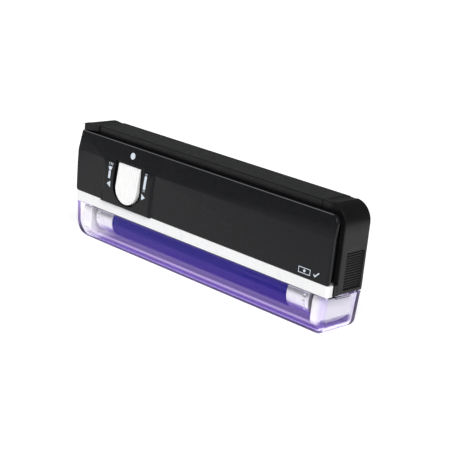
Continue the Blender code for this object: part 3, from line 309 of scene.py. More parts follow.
class Material:
    """A procedural material on a Principled shader, read in the object's own space."""

    def __init__(self, name, colour, roughness, metallic=0.0, **sockets):
        self.material = bpy.data.materials.new(name)
        self.material.use_nodes = True
        self.tree = self.material.node_tree
        self.shader = self.tree.nodes["Principled BSDF"]
        self.colour, self.roughness = colour, roughness
        self.set("Base Color", (*colour, 1.0))
        self.set("Roughness", roughness)
        self.set("Metallic", metallic)
        for socket, value in sockets.items():
            self.set(socket.replace("_", " "), value)
        self.place = self.node("TexCoord").outputs["Object"]

    def set(self, socket, value):
        self.shader.inputs[socket].default_value = value

    def node(self, kind, inputs=None, **settings):
        made = self.tree.nodes.new("ShaderNode" + kind)
        for key, value in settings.items():
            setattr(made, key, value)
        for key, value in (inputs or {}).items():
            self.feed(made.inputs[key], value)
        return made

    def feed(self, socket, value):
        if isinstance(value, bpy.types.NodeSocket):
            self.tree.links.new(value, socket)
        else:
            socket.default_value = value

    def math(self, operation, first, second=0.0):
        return self.node("Math", {0: first, 1: second}, operation=operation).outputs[0]

    def times(self, first, second):
        return self.math("MULTIPLY", first, second)

    def away(self, value, level):
        """How far a value is from a level, on either side."""
        return self.math("ABSOLUTE", self.math("SUBTRACT", value, level))

    def noise(self, size, detail=3.0, stretch=(1, 1, 1)):
        """Noise whose features are about size millimetres across."""
        place = self.place
        if stretch != (1, 1, 1):
            place = self.node("Mapping", {"Vector": place, "Scale": stretch}).outputs[0]
        inputs = {"Vector": place, "Scale": 1 / (size * MM), "Detail": detail}
        return self.node("TexNoise", inputs).outputs["Fac"]

    def along(self, axis):
        """The place along an axis, in millimetres."""
        parts = self.node("SeparateXYZ", {0: self.place})
        return self.times(parts.outputs["XYZ".index(axis)], 1 / MM)

    def ramp(self, value, *stops):
        """A ramp of (place, colour) stops over a value from 0 to 1."""
        node = self.node("ValToRGB", {"Fac": value})
        elements = node.color_ramp.elements
        while len(elements) < len(stops):
            elements.new(0.5)
        for element, (at, colour) in zip(elements, stops):
            element.position = at
            element.color = (*colour, 1.0)
        return node.outputs["Color"]

    def scaled(self, value, low, high, to_low=0.0, to_high=1.0):
        """Maps low..high onto to_low..to_high, and holds the end values outside them."""
        names = ("Value", "From Min", "From Max", "To Min", "To Max")
        inputs = dict(zip(names, (value, low, high, to_low, to_high)))
        return self.node("MapRange", inputs).outputs[0]

    def mix(self, factor, first, second):
        """A blend of two colours, given as sockets or as RGB triples."""
        made = self.node("Mix", {"Factor": factor}, data_type="RGBA")
        for socket, value in ((made.inputs[6], first), (made.inputs[7], second)):
            self.feed(socket, (*value, 1.0) if isinstance(value, tuple) else value)
        return made.outputs[2]

    def drift(self, size, first, second):
        """A colour that drifts between two others over patches of a size."""
        return self.mix(self.scaled(self.noise(size), 0.35, 0.65), first, second)

    def drive(self, socket, value):
        """Feeds one of the shader's sockets from another node."""
        self.tree.links.new(value, self.shader.inputs[socket])
        return self

    def paint(self, colour):
        return self.drive("Base Color", colour)

    def mottle(self, size, amount):
        """Lets the colour drift lighter and darker over patches of a size."""
        darker = tuple(c * (1 - amount) for c in self.colour)
        lighter = tuple(c * (1 + amount) for c in self.colour)
        return self.paint(self.drift(size, darker, lighter))

    def uneven(self, size, amount):
        """Lets the roughness drift by an amount over patches of a size."""
        low, high = self.roughness - amount, self.roughness + amount
        level = self.scaled(self.noise(size), 0.3, 0.7, max(low, 0.01), high)
        return self.drive("Roughness", level)

    def bump(self, height, depth):
        """Raises the surface by up to depth millimetres where the height is 1."""
        inputs = {"Height": height, "Distance": depth * MM, "Strength": 1.0}
        earlier = self.shader.inputs["Normal"].links
        if earlier:
            inputs["Normal"] = earlier[0].from_socket
        return self.drive("Normal", self.node("Bump", inputs).outputs[0])

    def grain(self, size, depth):
        return self.bump(self.noise(size, detail=2.0), depth)


def case_plastic():
    """Matt black, which reflects less and so looks darker round the top right corner."""
    made = Material("case_plastic", (0.0062, 0.0062, 0.0062), 0.40, Specular_IOR_Level=0.25)
    high = made.scaled(made.along("Z"), 43.0, 48.0)
    right = made.scaled(made.along("X"), 70.0, 73.0)
    made.drive("Specular IOR Level", made.scaled(made.times(high, right), 0.0, 1.0, 0.25, 0.08))
    return made.mottle(9.0, 0.12).uneven(2.5, 0.05).grain(0.28, 0.004)


def panel_plastic():
    """Satin black: the leaning band is darker, and its top front edge is painted a little paler as
    a painted highlight.
    """
    made = Material("panel_plastic", (0.0042, 0.0044, 0.0056), 0.28, Specular_IOR_Level=0.20)
    made.mottle(12.0, 0.10).uneven(3.0, 0.04).grain(0.24, 0.0006)
    height = made.along("Z")
    level = made.scaled(height, CREASE_Z - 0.2, CREASE_Z + 0.4, 0.20, 0.17)
    made.drive("Specular IOR Level", level)
    # Painted highlight: the cover's top front edge is mixed towards a paler grey.
    front = made.scaled(made.along("Y"), -8.75, -8.95)
    edge = made.times(made.scaled(height, 50.75, 51.0), front)
    base = made.shader.inputs["Base Color"].links[0].from_socket
    return made.paint(made.mix(made.times(edge, 0.9), base, (0.16, 0.16, 0.165)))


def clear_plastic():
    """Clear plastic, with the lamp's light painted into it: the floor of the trough has a painted
    violet tint and a painted glow under the lamp.
    """
    clear, violet = (0.985, 0.98, 0.99), (0.17, 0.105, 0.38)
    made = Material("clear_plastic", clear, 0.03, Transmission_Weight=1.0, IOR=1.28)
    made.set("Specular Tint", (0.06, 0.05, 0.09, 1.0))
    haze = made.node("VolumeAbsorption", {"Color": (0.60, 0.42, 0.95, 1.0), "Density": 30.0})
    output = made.tree.nodes["Material Output"]
    made.tree.links.new(haze.outputs["Volume"], output.inputs["Volume"])
    height, length = made.along("Z"), made.along("X")
    across = made.math("ABSOLUTE", made.along("Y"))
    left, right = made.scaled(length, -79.0, -62.0), made.scaled(length, 77.5, 75.0)
    under_lamp = made.times(left, right)
    back_rise = made.scaled(made.along("Y"), 6.0, 9.0, 0.0, 2.6)
    above = made.math("SUBTRACT", height, back_rise)
    # The trough's floor under the lamp, which takes a painted violet tint and a painted glow.
    floor = made.times(made.scaled(above, 3.0, 2.2), under_lamp)
    at_end = made.scaled(length, 74.5, 77.0)
    corner = made.times(made.scaled(across, 9.7, 10.3), at_end)
    # Painted light: the lower front and back edges take a deeper violet.
    low_edge = made.times(made.scaled(height, 2.1, 1.6), made.scaled(across, 9.2, 9.8))
    colour = made.mix(low_edge, violet, (0.08, 0.045, 0.22))
    colour = made.mix(floor, clear, colour)
    # Painted shade: the right end is a little greyer.
    colour = made.mix(at_end, colour, (0.88, 0.87, 0.92))
    # Painted light: a lilac tint on the right end's front and back corners.
    made.paint(made.mix(made.times(corner, 0.6), colour, (0.45, 0.38, 0.66)))
    # Painted glow over the trough's floor, stronger at the very bottom.
    glow = made.times(floor, made.scaled(height, 0.2, 1.2, 0.11, 0.01))
    front = made.times(made.scaled(made.along("Y"), -8.0, -9.0), under_lamp)
    # Painted bright streaks along the front, in place of the lamp's reflections: height, half width
    # and power.
    bands = ((4.45, 0.6, 0.26), (5.9, 1.4, 0.02), (6.95, 0.4, 0.10), (16.2, 0.8, 0.03))
    for level, half_width, power in bands:
        streak = made.times(made.scaled(made.away(height, level), half_width, 0.0), power)
        glow = made.math("ADD", glow, made.times(streak, front))
    # Painted glow round the left end's outer wall, and on the right end's corners.
    rim = made.scaled(length, -77.4, -78.4, 0.0, 0.12)
    glow = made.math("ADD", glow, made.math("ADD", rim, made.times(corner, 0.13)))
    made.drive("Emission Strength", glow)
    # The painted glow is violet in a middle band of the floor and paler elsewhere.
    middle = made.times(made.scaled(height, 2.0, 4.0), made.scaled(height, 5.8, 5.0))
    middle = made.times(middle, under_lamp)
    made.drive("Emission Color", made.mix(middle, (0.66, 0.52, 1.0), (0.98, 0.84, 0.94)))
    return made.uneven(6.0, 0.015)


def lamp_glass():
    """Deep violet coated glass: dark indigo above, purple and glowing below."""
    made = Material("lamp_glass", (0.003, 0.002, 0.07), 0.16, Specular_IOR_Level=0.03)
    height = made.scaled(made.along("Z"), TUBE_Z - TUBE_RADIUS, TUBE_Z + TUBE_RADIUS)
    glow = made.ramp(
        height, (0.04, (0.09, 0.05, 0.30)), (0.14, (0.046, 0.024, 0.20)),
        (0.45, (0.038, 0.018, 0.19)), (0.47, (0.012, 0.008, 0.14)),
    )
    # Painted highlight: a thin brighter line along the tube, stronger to the right.
    to_right = made.scaled(made.along("X"), 0.0, 30.0, 0.0, 0.7)
    gleam = made.times(made.scaled(made.away(height, 0.61), 0.022, 0.0), to_right)
    made.drive("Emission Color", made.mix(gleam, glow, (0.10, 0.06, 0.30)))
    made.set("Emission Strength", 1.0)
    return made.mottle(7.0, 0.10)


def metal(name, colour, roughness, size, stretch=(1, 1, 1), depth=0.004):
    """Metal with fine lines or grain. A stretch below 1 draws the grain out along that axis."""
    made = Material(name, colour, roughness, 1.0)
    made.mottle(3.0, 0.05).uneven(1.5, 0.06)
    return made.bump(made.noise(size, 3.0, stretch), depth)


def moulded(name, colour, roughness, grain=(0.3, 0.006), mottle=(4, 0.08), uneven=(1.5, 0.06)):
    return Material(name, colour, roughness).mottle(*mottle).uneven(*uneven).grain(*grain)


def board_lacquer():
    """Green solder mask with paler tracks under it."""
    made = Material("board_lacquer", (0.020, 0.115, 0.045), 0.30)
    cells = made.node(
        "TexVoronoi", {"Vector": made.place, "Scale": 1 / (2.6 * MM), "Randomness": 0.55},
        feature="DISTANCE_TO_EDGE",
    )
    track = made.scaled(cells.outputs["Distance"], 0.06, 0.09)
    made.paint(made.mix(track, (0.045, 0.21, 0.085), (0.018, 0.105, 0.042)))
    return made.uneven(2.0, 0.06).bump(made.math("SUBTRACT", 1.0, track), 0.03)


def copper_coil():
    """Fine enamelled wire, wound side by side."""
    made = Material("copper_coil", (0.62, 0.22, 0.07), 0.32, 1.0)
    turns = made.node(
        "TexWave", {"Vector": made.place, "Scale": 0.5 / (0.3 * MM), "Distortion": 0.6},
        bands_direction="Z",
    )
    return made.mottle(1.5, 0.15).uneven(1.0, 0.06).bump(turns.outputs["Fac"], 0.05)


def resistor_paint():
    """Buff lacquer with level coloured bands."""
    made = Material("resistor_paint", (0.60, 0.44, 0.25), 0.42)
    wave = made.math("FRACT", made.math("DIVIDE", made.along("Z"), 1.4))
    band = made.math("LESS_THAN", wave, 0.35)
    body = made.drift(1.0, (0.55, 0.40, 0.22), (0.64, 0.48, 0.29))
    made.paint(made.mix(band, body, (0.16, 0.035, 0.02)))
    return made.uneven(0.8, 0.05).grain(0.3, 0.006)


def cell_sleeve():
    """Shrink sleeve of a battery cell: blue film with a silver waist band."""
    made = Material("cell_sleeve", (0.02, 0.10, 0.34), 0.24, Coat_Weight=0.5)
    cell_pitch = 50.6
    start = span("battery_1")[0].x
    along = made.math("SUBTRACT", made.along("X"), start)
    place = made.math("FRACT", made.math("DIVIDE", along, cell_pitch))
    silver = made.math("GREATER_THAN", place, 0.74)
    film = made.drift(4.0, (0.016, 0.085, 0.29), (0.024, 0.115, 0.38))
    steel = made.drift(1.0, (0.52, 0.53, 0.55), (0.64, 0.65, 0.67))
    made.paint(made.mix(silver, film, steel))
    return made.uneven(2.0, 0.06).grain(0.6, 0.004)


def dress(piece, made):
    """Puts one material on a piece."""
    piece.data.materials.clear()
    piece.data.materials.append(made.material)
    return piece


def place(piece, made, slot, body, *nodes):
    """Finishes a new piece: its material, its body and the nodes it stands for. Its slot is not
    used.
    """
    dress(piece, made)
    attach(piece, body)
    if nodes:
        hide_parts(*nodes)
    return piece


# ---- case shells


def bowed_left(z):
    """X of the bowed left end at height z."""
    return -(LEFT_END + LEFT_BOW * (1 - ((z - BOW_MIDDLE_Z) / BOW_SPAN) ** 2))


def shell_outline(inset, right, bottom, top, top_right, top_left, lower, lift=1.0):
    """The shell's front outline, counter-clockwise, drawn in by an inset.

    lift is the share of the inset that the bottom edge takes.
    """
    right, top, bottom = right - inset, top - inset, bottom + inset * lift
    top_right, top_left = top_right - inset * 0.6, max(top_left - inset * 0.6, 0.4)
    low_left = bowed_left(bottom + lower) + inset
    high_left = bowed_left(top - top_left) + inset
    points = lower_corners(low_left, right, bottom, lower)
    points += arc((right - top_right, top - top_right), top_right, 0, 90)
    points += arc((high_left + top_left, top - top_left), top_left, 90, 180)
    start, end = top - top_left, bottom + lower
    steps = 2 * ARC_STEPS
    for i in range(1, steps):
        z = start + (end - start) * i / steps
        points.append((bowed_left(z) + inset, z))
    return points


def rounded_steps(radius, steps=EDGE_STEPS):
    """(depth, inset) pairs round a quarter of an edge, from its side to its face."""
    turns = [math.radians(90 * i / steps) for i in range(1, steps + 1)]
    return [(radius * math.sin(a), radius * (1 - math.cos(a))) for a in turns]


def make_case():
    def ring(y, inset):
        corners = (CASE_CORNER, CASE_TOP_LEFT_CORNER, CASE_LOWER_CORNER)
        outline = shell_outline(inset, HALF_LENGTH, CASE_BOTTOM, HEIGHT, *corners, lift=0.0)
        return [(x, y, z) for x, z in outline]

    rim = 0.45
    back = HALF_DEPTH - CASE_EDGE
    rings = [ring(CASE_FRONT + rim - d, inset) for d, inset in reversed(rounded_steps(rim, 4))]
    rings += [ring(CASE_FRONT + rim, 0), ring(back, 0)]
    rings += [ring(back + depth, inset) for depth, inset in rounded_steps(CASE_EDGE)]
    case = loft("rear_case_shell", rings)
    add(case, *case_front_additions())
    cut(case, lamp_recess(), electronics_pocket(), right_pocket(), battery_bay(), door_recess())
    add(case, *[boss(x, z) for x, z in SCREWS])
    cut(case, *case_holes(), *finger_scoops(), grip_recess())
    cut(case, *grip_grooves())
    add(case, *grip_arrow())
    soften(case, 0.14)
    return place(case, case_plastic(), "case_plastic", "case", "rear_case")


def case_front_additions():
    """Walls that stand forward of the case's front rim."""
    low, high, steps = CASE_BOTTOM + 1, HEIGHT - 1.5, 24
    heights = [low + (high - low) * i / steps for i in range(steps + 1)]
    left = [(bowed_left(z), z) for z in heights]
    left += [(WALL_LEFT, heights[-1]), (WALL_LEFT, heights[0])]
    left_wall = prism("left_wall", left, "Y", LEFT_WALL_FRONT, CASE_FRONT + 0.5)
    lean_back(left_wall)
    flare_corner, flare_left = 1.5, bowed_left(HEIGHT) + 0.3
    flare_centre = (flare_left + flare_corner, FLARE_FRONT + flare_corner)
    flare_plan = [
        *arc(flare_centre, flare_corner, 180, 270), (DOOR_LEFT + 0.5, CASE_FRONT - 0.1),
        (DOOR_LEFT + 0.5, CASE_FRONT + 0.5), (flare_left, CASE_FRONT + 0.5),
    ]
    flare = prism("left_flare", flare_plan, "Z", COVER_TOP + GAP, HEIGHT - 0.1)
    _, _, skirt_bottom, skirt_top = SKIRT_SIDES
    bay_wall = box(
        "bay_wall", (BAY_WALL_LEFT, BAY_WALL_FRONT, skirt_bottom + SKIRT_WALL + GAP),
        (BAY_WALL_RIGHT, CASE_FRONT + 0.5, skirt_top - SKIRT_WALL - GAP),
    )
    right_toe = box(
        "right_toe", (WALL_RIGHT - 0.5, -7.4, CASE_BOTTOM + 0.1),
        (HALF_LENGTH - 0.05, CASE_FRONT + 0.5, FLOOR_BOTTOM - 0.4),
    )
    return left_wall, flare, bay_wall, right_toe


def lamp_recess():
    """Room for the reflector under the case, open below and in front."""
    corner_rise, corner_run = 2.2, 4.7
    profile = [
        (-FAR, -FAR), (WALL_BACK, -FAR), (WALL_BACK, FLOOR_BOTTOM - corner_rise),
        (WALL_BACK - corner_run, FLOOR_BOTTOM), (-FAR, FLOOR_BOTTOM),
    ]
    return prism("lamp_recess", profile, "X", WALL_LEFT, WALL_RIGHT)


def electronics_pocket():
    """Left-hand chamber for the switch, the board and the torch, open in front."""
    step_back, step_top = 4.8, 28.6
    profile = [
        (-FAR, FLOOR_TOP), (step_back, FLOOR_TOP), (step_back, step_top), (POCKET_BACK, step_top),
        (POCKET_BACK, POCKET_TOP), (-FAR, POCKET_TOP),
    ]
    return prism("electronics_pocket", profile, "X", WALL_LEFT, BAY_WALL_LEFT)


def right_pocket():
    right, top = 77.4, 46.5
    return box("right_pocket", (BAY_WALL_RIGHT, -FAR, FLOOR_TOP), (right, POCKET_BACK, top))


def battery_bay():
    return box("battery_bay", (BAY_LEFT, BAY_FRONT, BAY_FLOOR), (BAY_RIGHT, FAR, FAR))


def door_recess():
    """The battery cover's own outline with a gap round it."""
    inner_back = HALF_DEPTH - DOOR_BACK_WALL - GAP
    barrel_room = BARREL + GAP
    meeting = math.degrees(math.acos((inner_back - HINGE_Y) / barrel_room))
    lip_inside = CASE_FRONT + DOOR_LIP_WALL + GAP
    profile = [(FAR, HINGE_Z - barrel_room), (HINGE_Y, HINGE_Z - barrel_room)]
    profile += arc((HINGE_Y, HINGE_Z), barrel_room, 270, meeting, 2 * ARC_STEPS)[1:]
    profile += door_inner_corner(DOOR_INNER_CURVE - GAP)
    profile += [
        (lip_inside, HEIGHT - DOOR_TOP_WALL - GAP), (lip_inside, DOOR_LIP_BOTTOM - GAP),
        (-FAR, DOOR_LIP_BOTTOM - GAP), (-FAR, FAR), (FAR, FAR),
    ]
    return prism("door_recess", profile, "X", DOOR_LEFT - GAP, DOOR_RIGHT + GAP)


def door_inner_corner(radius):
    """The curve inside the door where its back wall turns into its top wall."""
    centre_y = HALF_DEPTH - DOOR_BACK_WALL - DOOR_INNER_CURVE
    centre_z = HEIGHT - DOOR_TOP_WALL - DOOR_INNER_CURVE
    return arc((centre_y, centre_z), radius, 0, 90, 5)


def boss(x, z):
    return rod("boss", (x, z), BOSS_RADIUS, "Y", BOSS_FRONT, POCKET_BACK + 0.5, 32)


def case_holes():
    """Screw holes, hinge sockets, the torch's window and the lamp wires' way down."""
    holes = []
    for x, z in SCREWS:
        profile = [
            (BOSS_FRONT - 1, SCREW_RADIUS + GAP), (HEAD_SEAT, SCREW_RADIUS + GAP),
            (HEAD_SEAT, HEAD_RADIUS + GAP), (HALF_DEPTH + 1, HEAD_RADIUS + GAP),
        ]
        holes.append(turned("screw_hole", profile, (x, z), "Y", 40))
    reach, socket = PIN_LENGTH + 2 * GAP, PIN_RADIUS + GAP
    for low, high in ((DOOR_LEFT - reach, DOOR_LEFT + 1), (DOOR_RIGHT - 1, DOOR_RIGHT + reach)):
        holes.append(rod("hinge_socket", (HINGE_Y, HINGE_Z), socket, "X", low, high, 24))
    window = (TORCH_Y, TORCH_Z)
    holes.append(rod("torch_window", window, TORCH_RADIUS + GAP, "X", -FAR, WALL_LEFT + 1))
    low, high = FLOOR_BOTTOM - 1, FLOOR_TOP + 1
    holes.append(rod("wire_way", WIRE_WAY, WIRE_WAY_RADIUS, "Z", low, high, 24))
    return holes


def finger_scoops():
    """Shallow hollows across the top, beside both ends of the battery cover."""
    radius, depth, front = 8.0, 0.45, -3.0
    centre_z = HEIGHT + radius - depth
    return [
        rod("scoop", (x, centre_z), radius, "Y", front, HALF_DEPTH + 1)
        for x in (DOOR_LEFT - 3.3, DOOR_RIGHT + 3.1)
    ]


def grip_recess():
    outline = rounded_rectangle(GRIP_FRONT, GRIP_BACK, GRIP_BOTTOM, GRIP_TOP, 0.5, 4)
    return prism("grip_recess", outline, "X", HALF_LENGTH - GRIP_DEPTH, FAR)


def grip_grooves():
    """Level V-shaped grooves with flat bottoms across the grip panel on the right end."""
    pitch = (GRIP_TOP - GRIP_BOTTOM) / GRIP_GROOVES
    face = HALF_LENGTH - GRIP_DEPTH
    mouth, bottom, depth, margin = 0.32 * pitch, 0.13 * pitch, 0.45, 0.4
    grooves = []
    for i in range(GRIP_GROOVES):
        z = GRIP_BOTTOM + pitch * (i + 0.5)
        profile = [
            (face + 0.2, z - mouth), (face + 0.2, z + mouth), (face - depth, z + bottom),
            (face - depth, z - bottom),
        ]
        grooves.append(prism("groove", profile, "Y", GRIP_FRONT + margin, GRIP_BACK - margin))
    return grooves


def grip_arrow():
    """A slim moulded arrow above the grip that points to the back."""
    face, proud = HALF_LENGTH - 0.3, HALF_LENGTH - 0.02
    shaft = [(0.8, 36.55), (3.9, 36.55), (3.9, 37.05), (0.8, 37.05)]
    head = [(3.7, 35.8), (6.2, 36.8), (3.7, 37.8)]
    return [prism("arrow", outline, "X", face, proud) for outline in (shaft, head)]


def lean_back(piece):
    """Creases a piece at CREASE_Z and leans everything above it backwards."""
    reshape_above(piece, CREASE_Z, lambda y, rise: y + BAND_SLOPE * rise)


def reshape_above(piece, crease, new_y):
    """Creases a piece at a height and moves each point above it to new_y(y, rise)."""
    with mesh_edit(piece.data) as work:
        slice_level(work, crease * MM, 1e-7)
        for vertex in work.verts:
            rise = vertex.co.z / MM - crease
            if rise > 0:
                vertex.co.y = new_y(vertex.co.y / MM, rise) * MM


def slice_level(work, height, tolerance):
    """Cuts edges into a bmesh wherever it crosses a height."""
    bmesh.ops.bisect_plane(
        work, geom=work.verts[:] + work.edges[:] + work.faces[:], plane_co=(0, 0, height),
        plane_no=(0, 0, 1), dist=tolerance,
    )


def make_front_cover():
    def ring(y, inset):
        corners = (COVER_CORNER, TOP_LEFT_CORNER, COVER_LOWER_CORNER)
        outline = shell_outline(inset, COVER_RIGHT, COVER_BOTTOM, COVER_TOP, *corners)
        return [(x, y, z) for x, z in outline]

    face = -HALF_DEPTH
    rings = [ring(COVER_BACK, 0), ring(face + COVER_EDGE, 0)]
    rings += [ring(face + COVER_EDGE - d, inset) for d, inset in rounded_steps(COVER_EDGE)]
    cover = loft("front_cover_shell", rings)
    lean_back(cover)
    add(cover, skirt(), brow(), switch_plate())
    add(cover, *[post(x, z) for x, z in SCREWS])
    cut(cover, switch_well(), *cover_holes())
    soften(cover, 0.12, angle=30)
    return place(cover, panel_plastic(), "panel_plastic", "case", "front_cover")


def skirt():
    """The wall behind the panel that plugs into the case's rim."""
    outer = rounded_rectangle(*SKIRT_SIDES, 3.0)
    inner = [side + step for side, step in zip(SKIRT_SIDES, (SKIRT_WALL, -SKIRT_WALL) * 2)]
    inner = rounded_rectangle(*inner, 1.8)
    front = COVER_BACK - 0.1
    rings = []
    for outline, y in ((outer, front), (outer, SKIRT_BACK), (inner, SKIRT_BACK), (inner, front)):
        rings.append([(x, y, z) for x, z in outline])
    return loft("skirt", rings, closed=True)


def brow():
    """A step along the cover's top that hides the slot in front of the battery cover."""
    low = SKIRT_SIDES[3] - 0.1
    profile = [(BROW_FRONT, low), (SKIRT_BACK, low), (SKIRT_BACK, BROW_TOP)]
    profile += [(BROW_RIB, BROW_TOP), (BROW_RIB, BROW_FLOOR), (BROW_FRONT, BROW_FLOOR)]
    return prism("brow", profile, "X", DOOR_LEFT - GAP, DOOR_RIGHT + GAP)


def plate_face(z):
    """Y of the switch plate's face at height z: it flattens into the leaning band."""
    rise = min(1.0, max(0.0, 1 - (CREASE_Z - z) / PLATE_CURVE_HEIGHT))
    lean = BAND_SLOPE * max(0.0, z - CREASE_Z)
    return -HALF_DEPTH - PLATE_PROUD * (1 - rise**2) - 0.01 + lean


def switch_plate():
    """The raised field round the knob, which grows out of the leaning band."""
    face = -HALF_DEPTH
    front, lip_back = face - PLATE_PROUD, face - PLATE_PROUD + PLATE_LIP
    profile = [(COVER_BACK - 0.5, COVER_BOTTOM), (lip_back, COVER_BOTTOM)]
    profile += [(lip_back, PLATE_LIP_BOTTOM), (front + 0.3, PLATE_LIP_BOTTOM)]
    profile.append((front, PLATE_LIP_BOTTOM + 0.3))
    steps = 24
    for i in range(steps + 1):
        z = CREASE_Z - PLATE_CURVE_HEIGHT * (1 - i / steps)
        profile.append((plate_face(z), z))
    profile.append((COVER_BACK - 0.5, CREASE_Z))
    plate = prism("switch_plate", profile, "X", PLATE_LEFT, PLATE_RIGHT)
    middle = (PLATE_LEFT + PLATE_RIGHT) / 2
    for vertex in plate.data.vertices:
        drawn_in = PLATE_SIDE_SLOPE * max(0.0, face * MM - vertex.co.y)
        vertex.co.x -= math.copysign(drawn_in, vertex.co.x - middle * MM)
    return plate


def knob_outline(side_room=0.0, end_room=0.0):
    """A D lying on its round side: flat top, half-round bottom."""
    half = KNOB_HALF_WIDTH + side_room
    bottom, top = KNOB_BOTTOM - end_room, KNOB_TOP + end_room
    round_height = KNOB_HALF_WIDTH + end_room
    steps = 4 * ARC_STEPS
    points = []
    for i in range(steps + 1):
        a = math.radians(180 + 180 * i / steps)
        points.append((KNOB_X + half * math.cos(a), bottom + round_height * (1 + math.sin(a))))
    return points + upper_corners(KNOB_X - half, KNOB_X + half, top, KNOB_CORNER)


def switch_well():
    side_room, end_room = SWITCH_TRAVEL + 0.4, 0.8
    return prism("switch_well", knob_outline(side_room, end_room), "Y", -FAR, WELL_FLOOR)


def post(x, z):
    return rod("post", (x, z), BOSS_RADIUS, "Y", COVER_BACK - 0.1, POST_BACK, 32)


def cover_holes():
    """The knob stem's slot and the screws' blind holes."""
    slot_half = STEM_HALF_WIDTH + SWITCH_TRAVEL + 0.4
    slot = box(
        "stem_slot", (KNOB_X - slot_half, WELL_FLOOR - 1, SWITCH_Z - STEM_HALF_HEIGHT - GAP),
        (KNOB_X + slot_half, COVER_BACK + 1, SWITCH_Z + STEM_HALF_HEIGHT + GAP),
    )
    pilots = [
        rod("pilot", (x, z), SCREW_RADIUS + GAP, "Y", -7.9, POST_BACK + 1, 24) for x, z in SCREWS
    ]
    return [slot, *pilots]


def make_battery_cover():
    """The L-shaped back and top door, with its hinge barrel along the lower edge."""
    back, top, front = HALF_DEPTH, HEIGHT, CASE_FRONT
    inner_back = back - DOOR_BACK_WALL
    meeting = math.degrees(math.acos((inner_back - HINGE_Y) / BARREL))
    lip_round = 0.45
    profile = [(front, DOOR_LIP_BOTTOM)]
    profile += arc((front + lip_round, top - lip_round), lip_round, 180, 90, 4)
    profile += arc((back - CASE_EDGE, top - CASE_EDGE), CASE_EDGE, 90, 0)
    profile += arc((HINGE_Y, HINGE_Z), BARREL, 0, meeting - 360, 3 * ARC_STEPS)
    profile += door_inner_corner(DOOR_INNER_CURVE)
    profile.append((front + DOOR_LIP_WALL, top - DOOR_TOP_WALL))
    profile.append((front + DOOR_LIP_WALL, DOOR_LIP_BOTTOM))
    door = prism("battery_cover_shell", profile, "X", DOOR_LEFT, DOOR_RIGHT)
    pins = []
    for side, edge in ((-1, DOOR_LEFT), (1, DOOR_RIGHT)):
        low, high = sorted((edge - side, edge + side * PIN_LENGTH))
        pins.append(rod("hinge_pin", (HINGE_Y, HINGE_Z), PIN_RADIUS, "X", low, high, 24))
    add(door, *pins)
    soften(door, 0.14)
    return place(door, case_plastic(), "case_plastic", "battery_door", "battery_cover")


# ---- lamp end


def lens_ring(z, offset):
    """The lamp cover's outline at height z, drawn in by an offset."""
    height = z - offset

    def drawn_in(curve):
        radius = curve - offset
        if height >= radius:
            return 0.0
        return radius - math.sqrt(radius**2 - (radius - height) ** 2)

    taper = max(0.0, 1 - z / LENS_TOP)
    length = LENS_HALF_LENGTH - offset
    left = drawn_in(LENS_LEFT_CURVE) + LENS_LEFT_DRAFT * taper - length
    right = length - LENS_RIGHT_DRAFT * taper - drawn_in(LENS_RIGHT_CURVE)
    half_depth = LENS_HALF_DEPTH - offset - drawn_in(LENS_EDGE_CURVE)
    corner = max(LENS_UPRIGHT_CORNER - offset, 0.8)
    outline = rounded_rectangle(left, right, -half_depth, half_depth, corner)
    return [(x, y, z) for x, y in outline]


def curve_levels(offset, steps=18):
    """Heights round the cover's lower curve, close together near its underside."""
    radius = LENS_LEFT_CURVE - offset
    turns = [math.radians(90 * i / steps) for i in range(steps + 1)]
    return [offset + radius * (1 - math.cos(a)) for a in turns]


def make_lamp_cover():
    """The clear trough under the lamp, with a bead round its rim and two snap tabs."""
    bead = LENS_TOP - RIM_HEIGHT
    rings = [lens_ring(z, 0) for z in curve_levels(0)]
    rings += [lens_ring(bead, 0), lens_ring(bead + 0.2, -RIM_PROUD)]
    rings += [lens_ring(LENS_TOP, -RIM_PROUD), lens_ring(LENS_TOP, LENS_WALL)]
    rings += [lens_ring(z, LENS_WALL) for z in reversed(curve_levels(LENS_WALL))]
    lens = loft("lamp_cover_shell", rings)
    add(lens, snap_tab(-1), snap_tab(1))
    soften(lens, 0.12, angle=50)
    lens.visible_shadow = False
    return place(lens, clear_plastic(), "clear_plastic", "lamp_shield", "lamp_cover")


def snap_tab(side):
    """A springy tongue inside an end wall, which reaches up into the case."""
    profile = [(77.0, 15.3), (78.7, 15.3), (78.7, 16.3), (77.9, 16.6), (77.9, 20.6), (77.0, 20.6)]
    return prism("snap_tab", [(side * x, z) for x, z in profile], "Y", -4.0, 4.0)


def make_reflector():
    """The white arch over the tube, with the strip that shows between the covers."""
    top, bottom = STRIP_TOP, STRIP_BOTTOM
    outer = REFLECTOR_RADIUS + REFLECTOR_WALL
    ledge = bottom + REFLECTOR_WALL
    outer_end = math.degrees(math.asin((ledge - TUBE_Z) / outer))
    inner_end = math.degrees(math.asin((bottom - TUBE_Z) / REFLECTOR_RADIUS))
    strip_back = -HALF_DEPTH + 1.2
    profile = [(strip_back - 0.4, bottom), (strip_back - 0.4, ledge)]
    profile += arc((0, TUBE_Z), outer, 180 - outer_end, outer_end, 3 * ARC_STEPS)
    profile += [(WALL_BACK - GAP, ledge), (WALL_BACK - GAP, bottom)]
    profile += arc((0, TUBE_Z), REFLECTOR_RADIUS, inner_end, 180 - inner_end, 3 * ARC_STEPS)
    arch = prism("reflector_tray", profile, "X", -REFLECTOR_HALF_LENGTH, REFLECTOR_HALF_LENGTH)
    add(arch, prism("strip", strip_plan(), "Z", bottom + 0.001, top))
    soften(arch, 0.15)
    return place(arch, TRAY, "white_plastic", "case", "reflector")


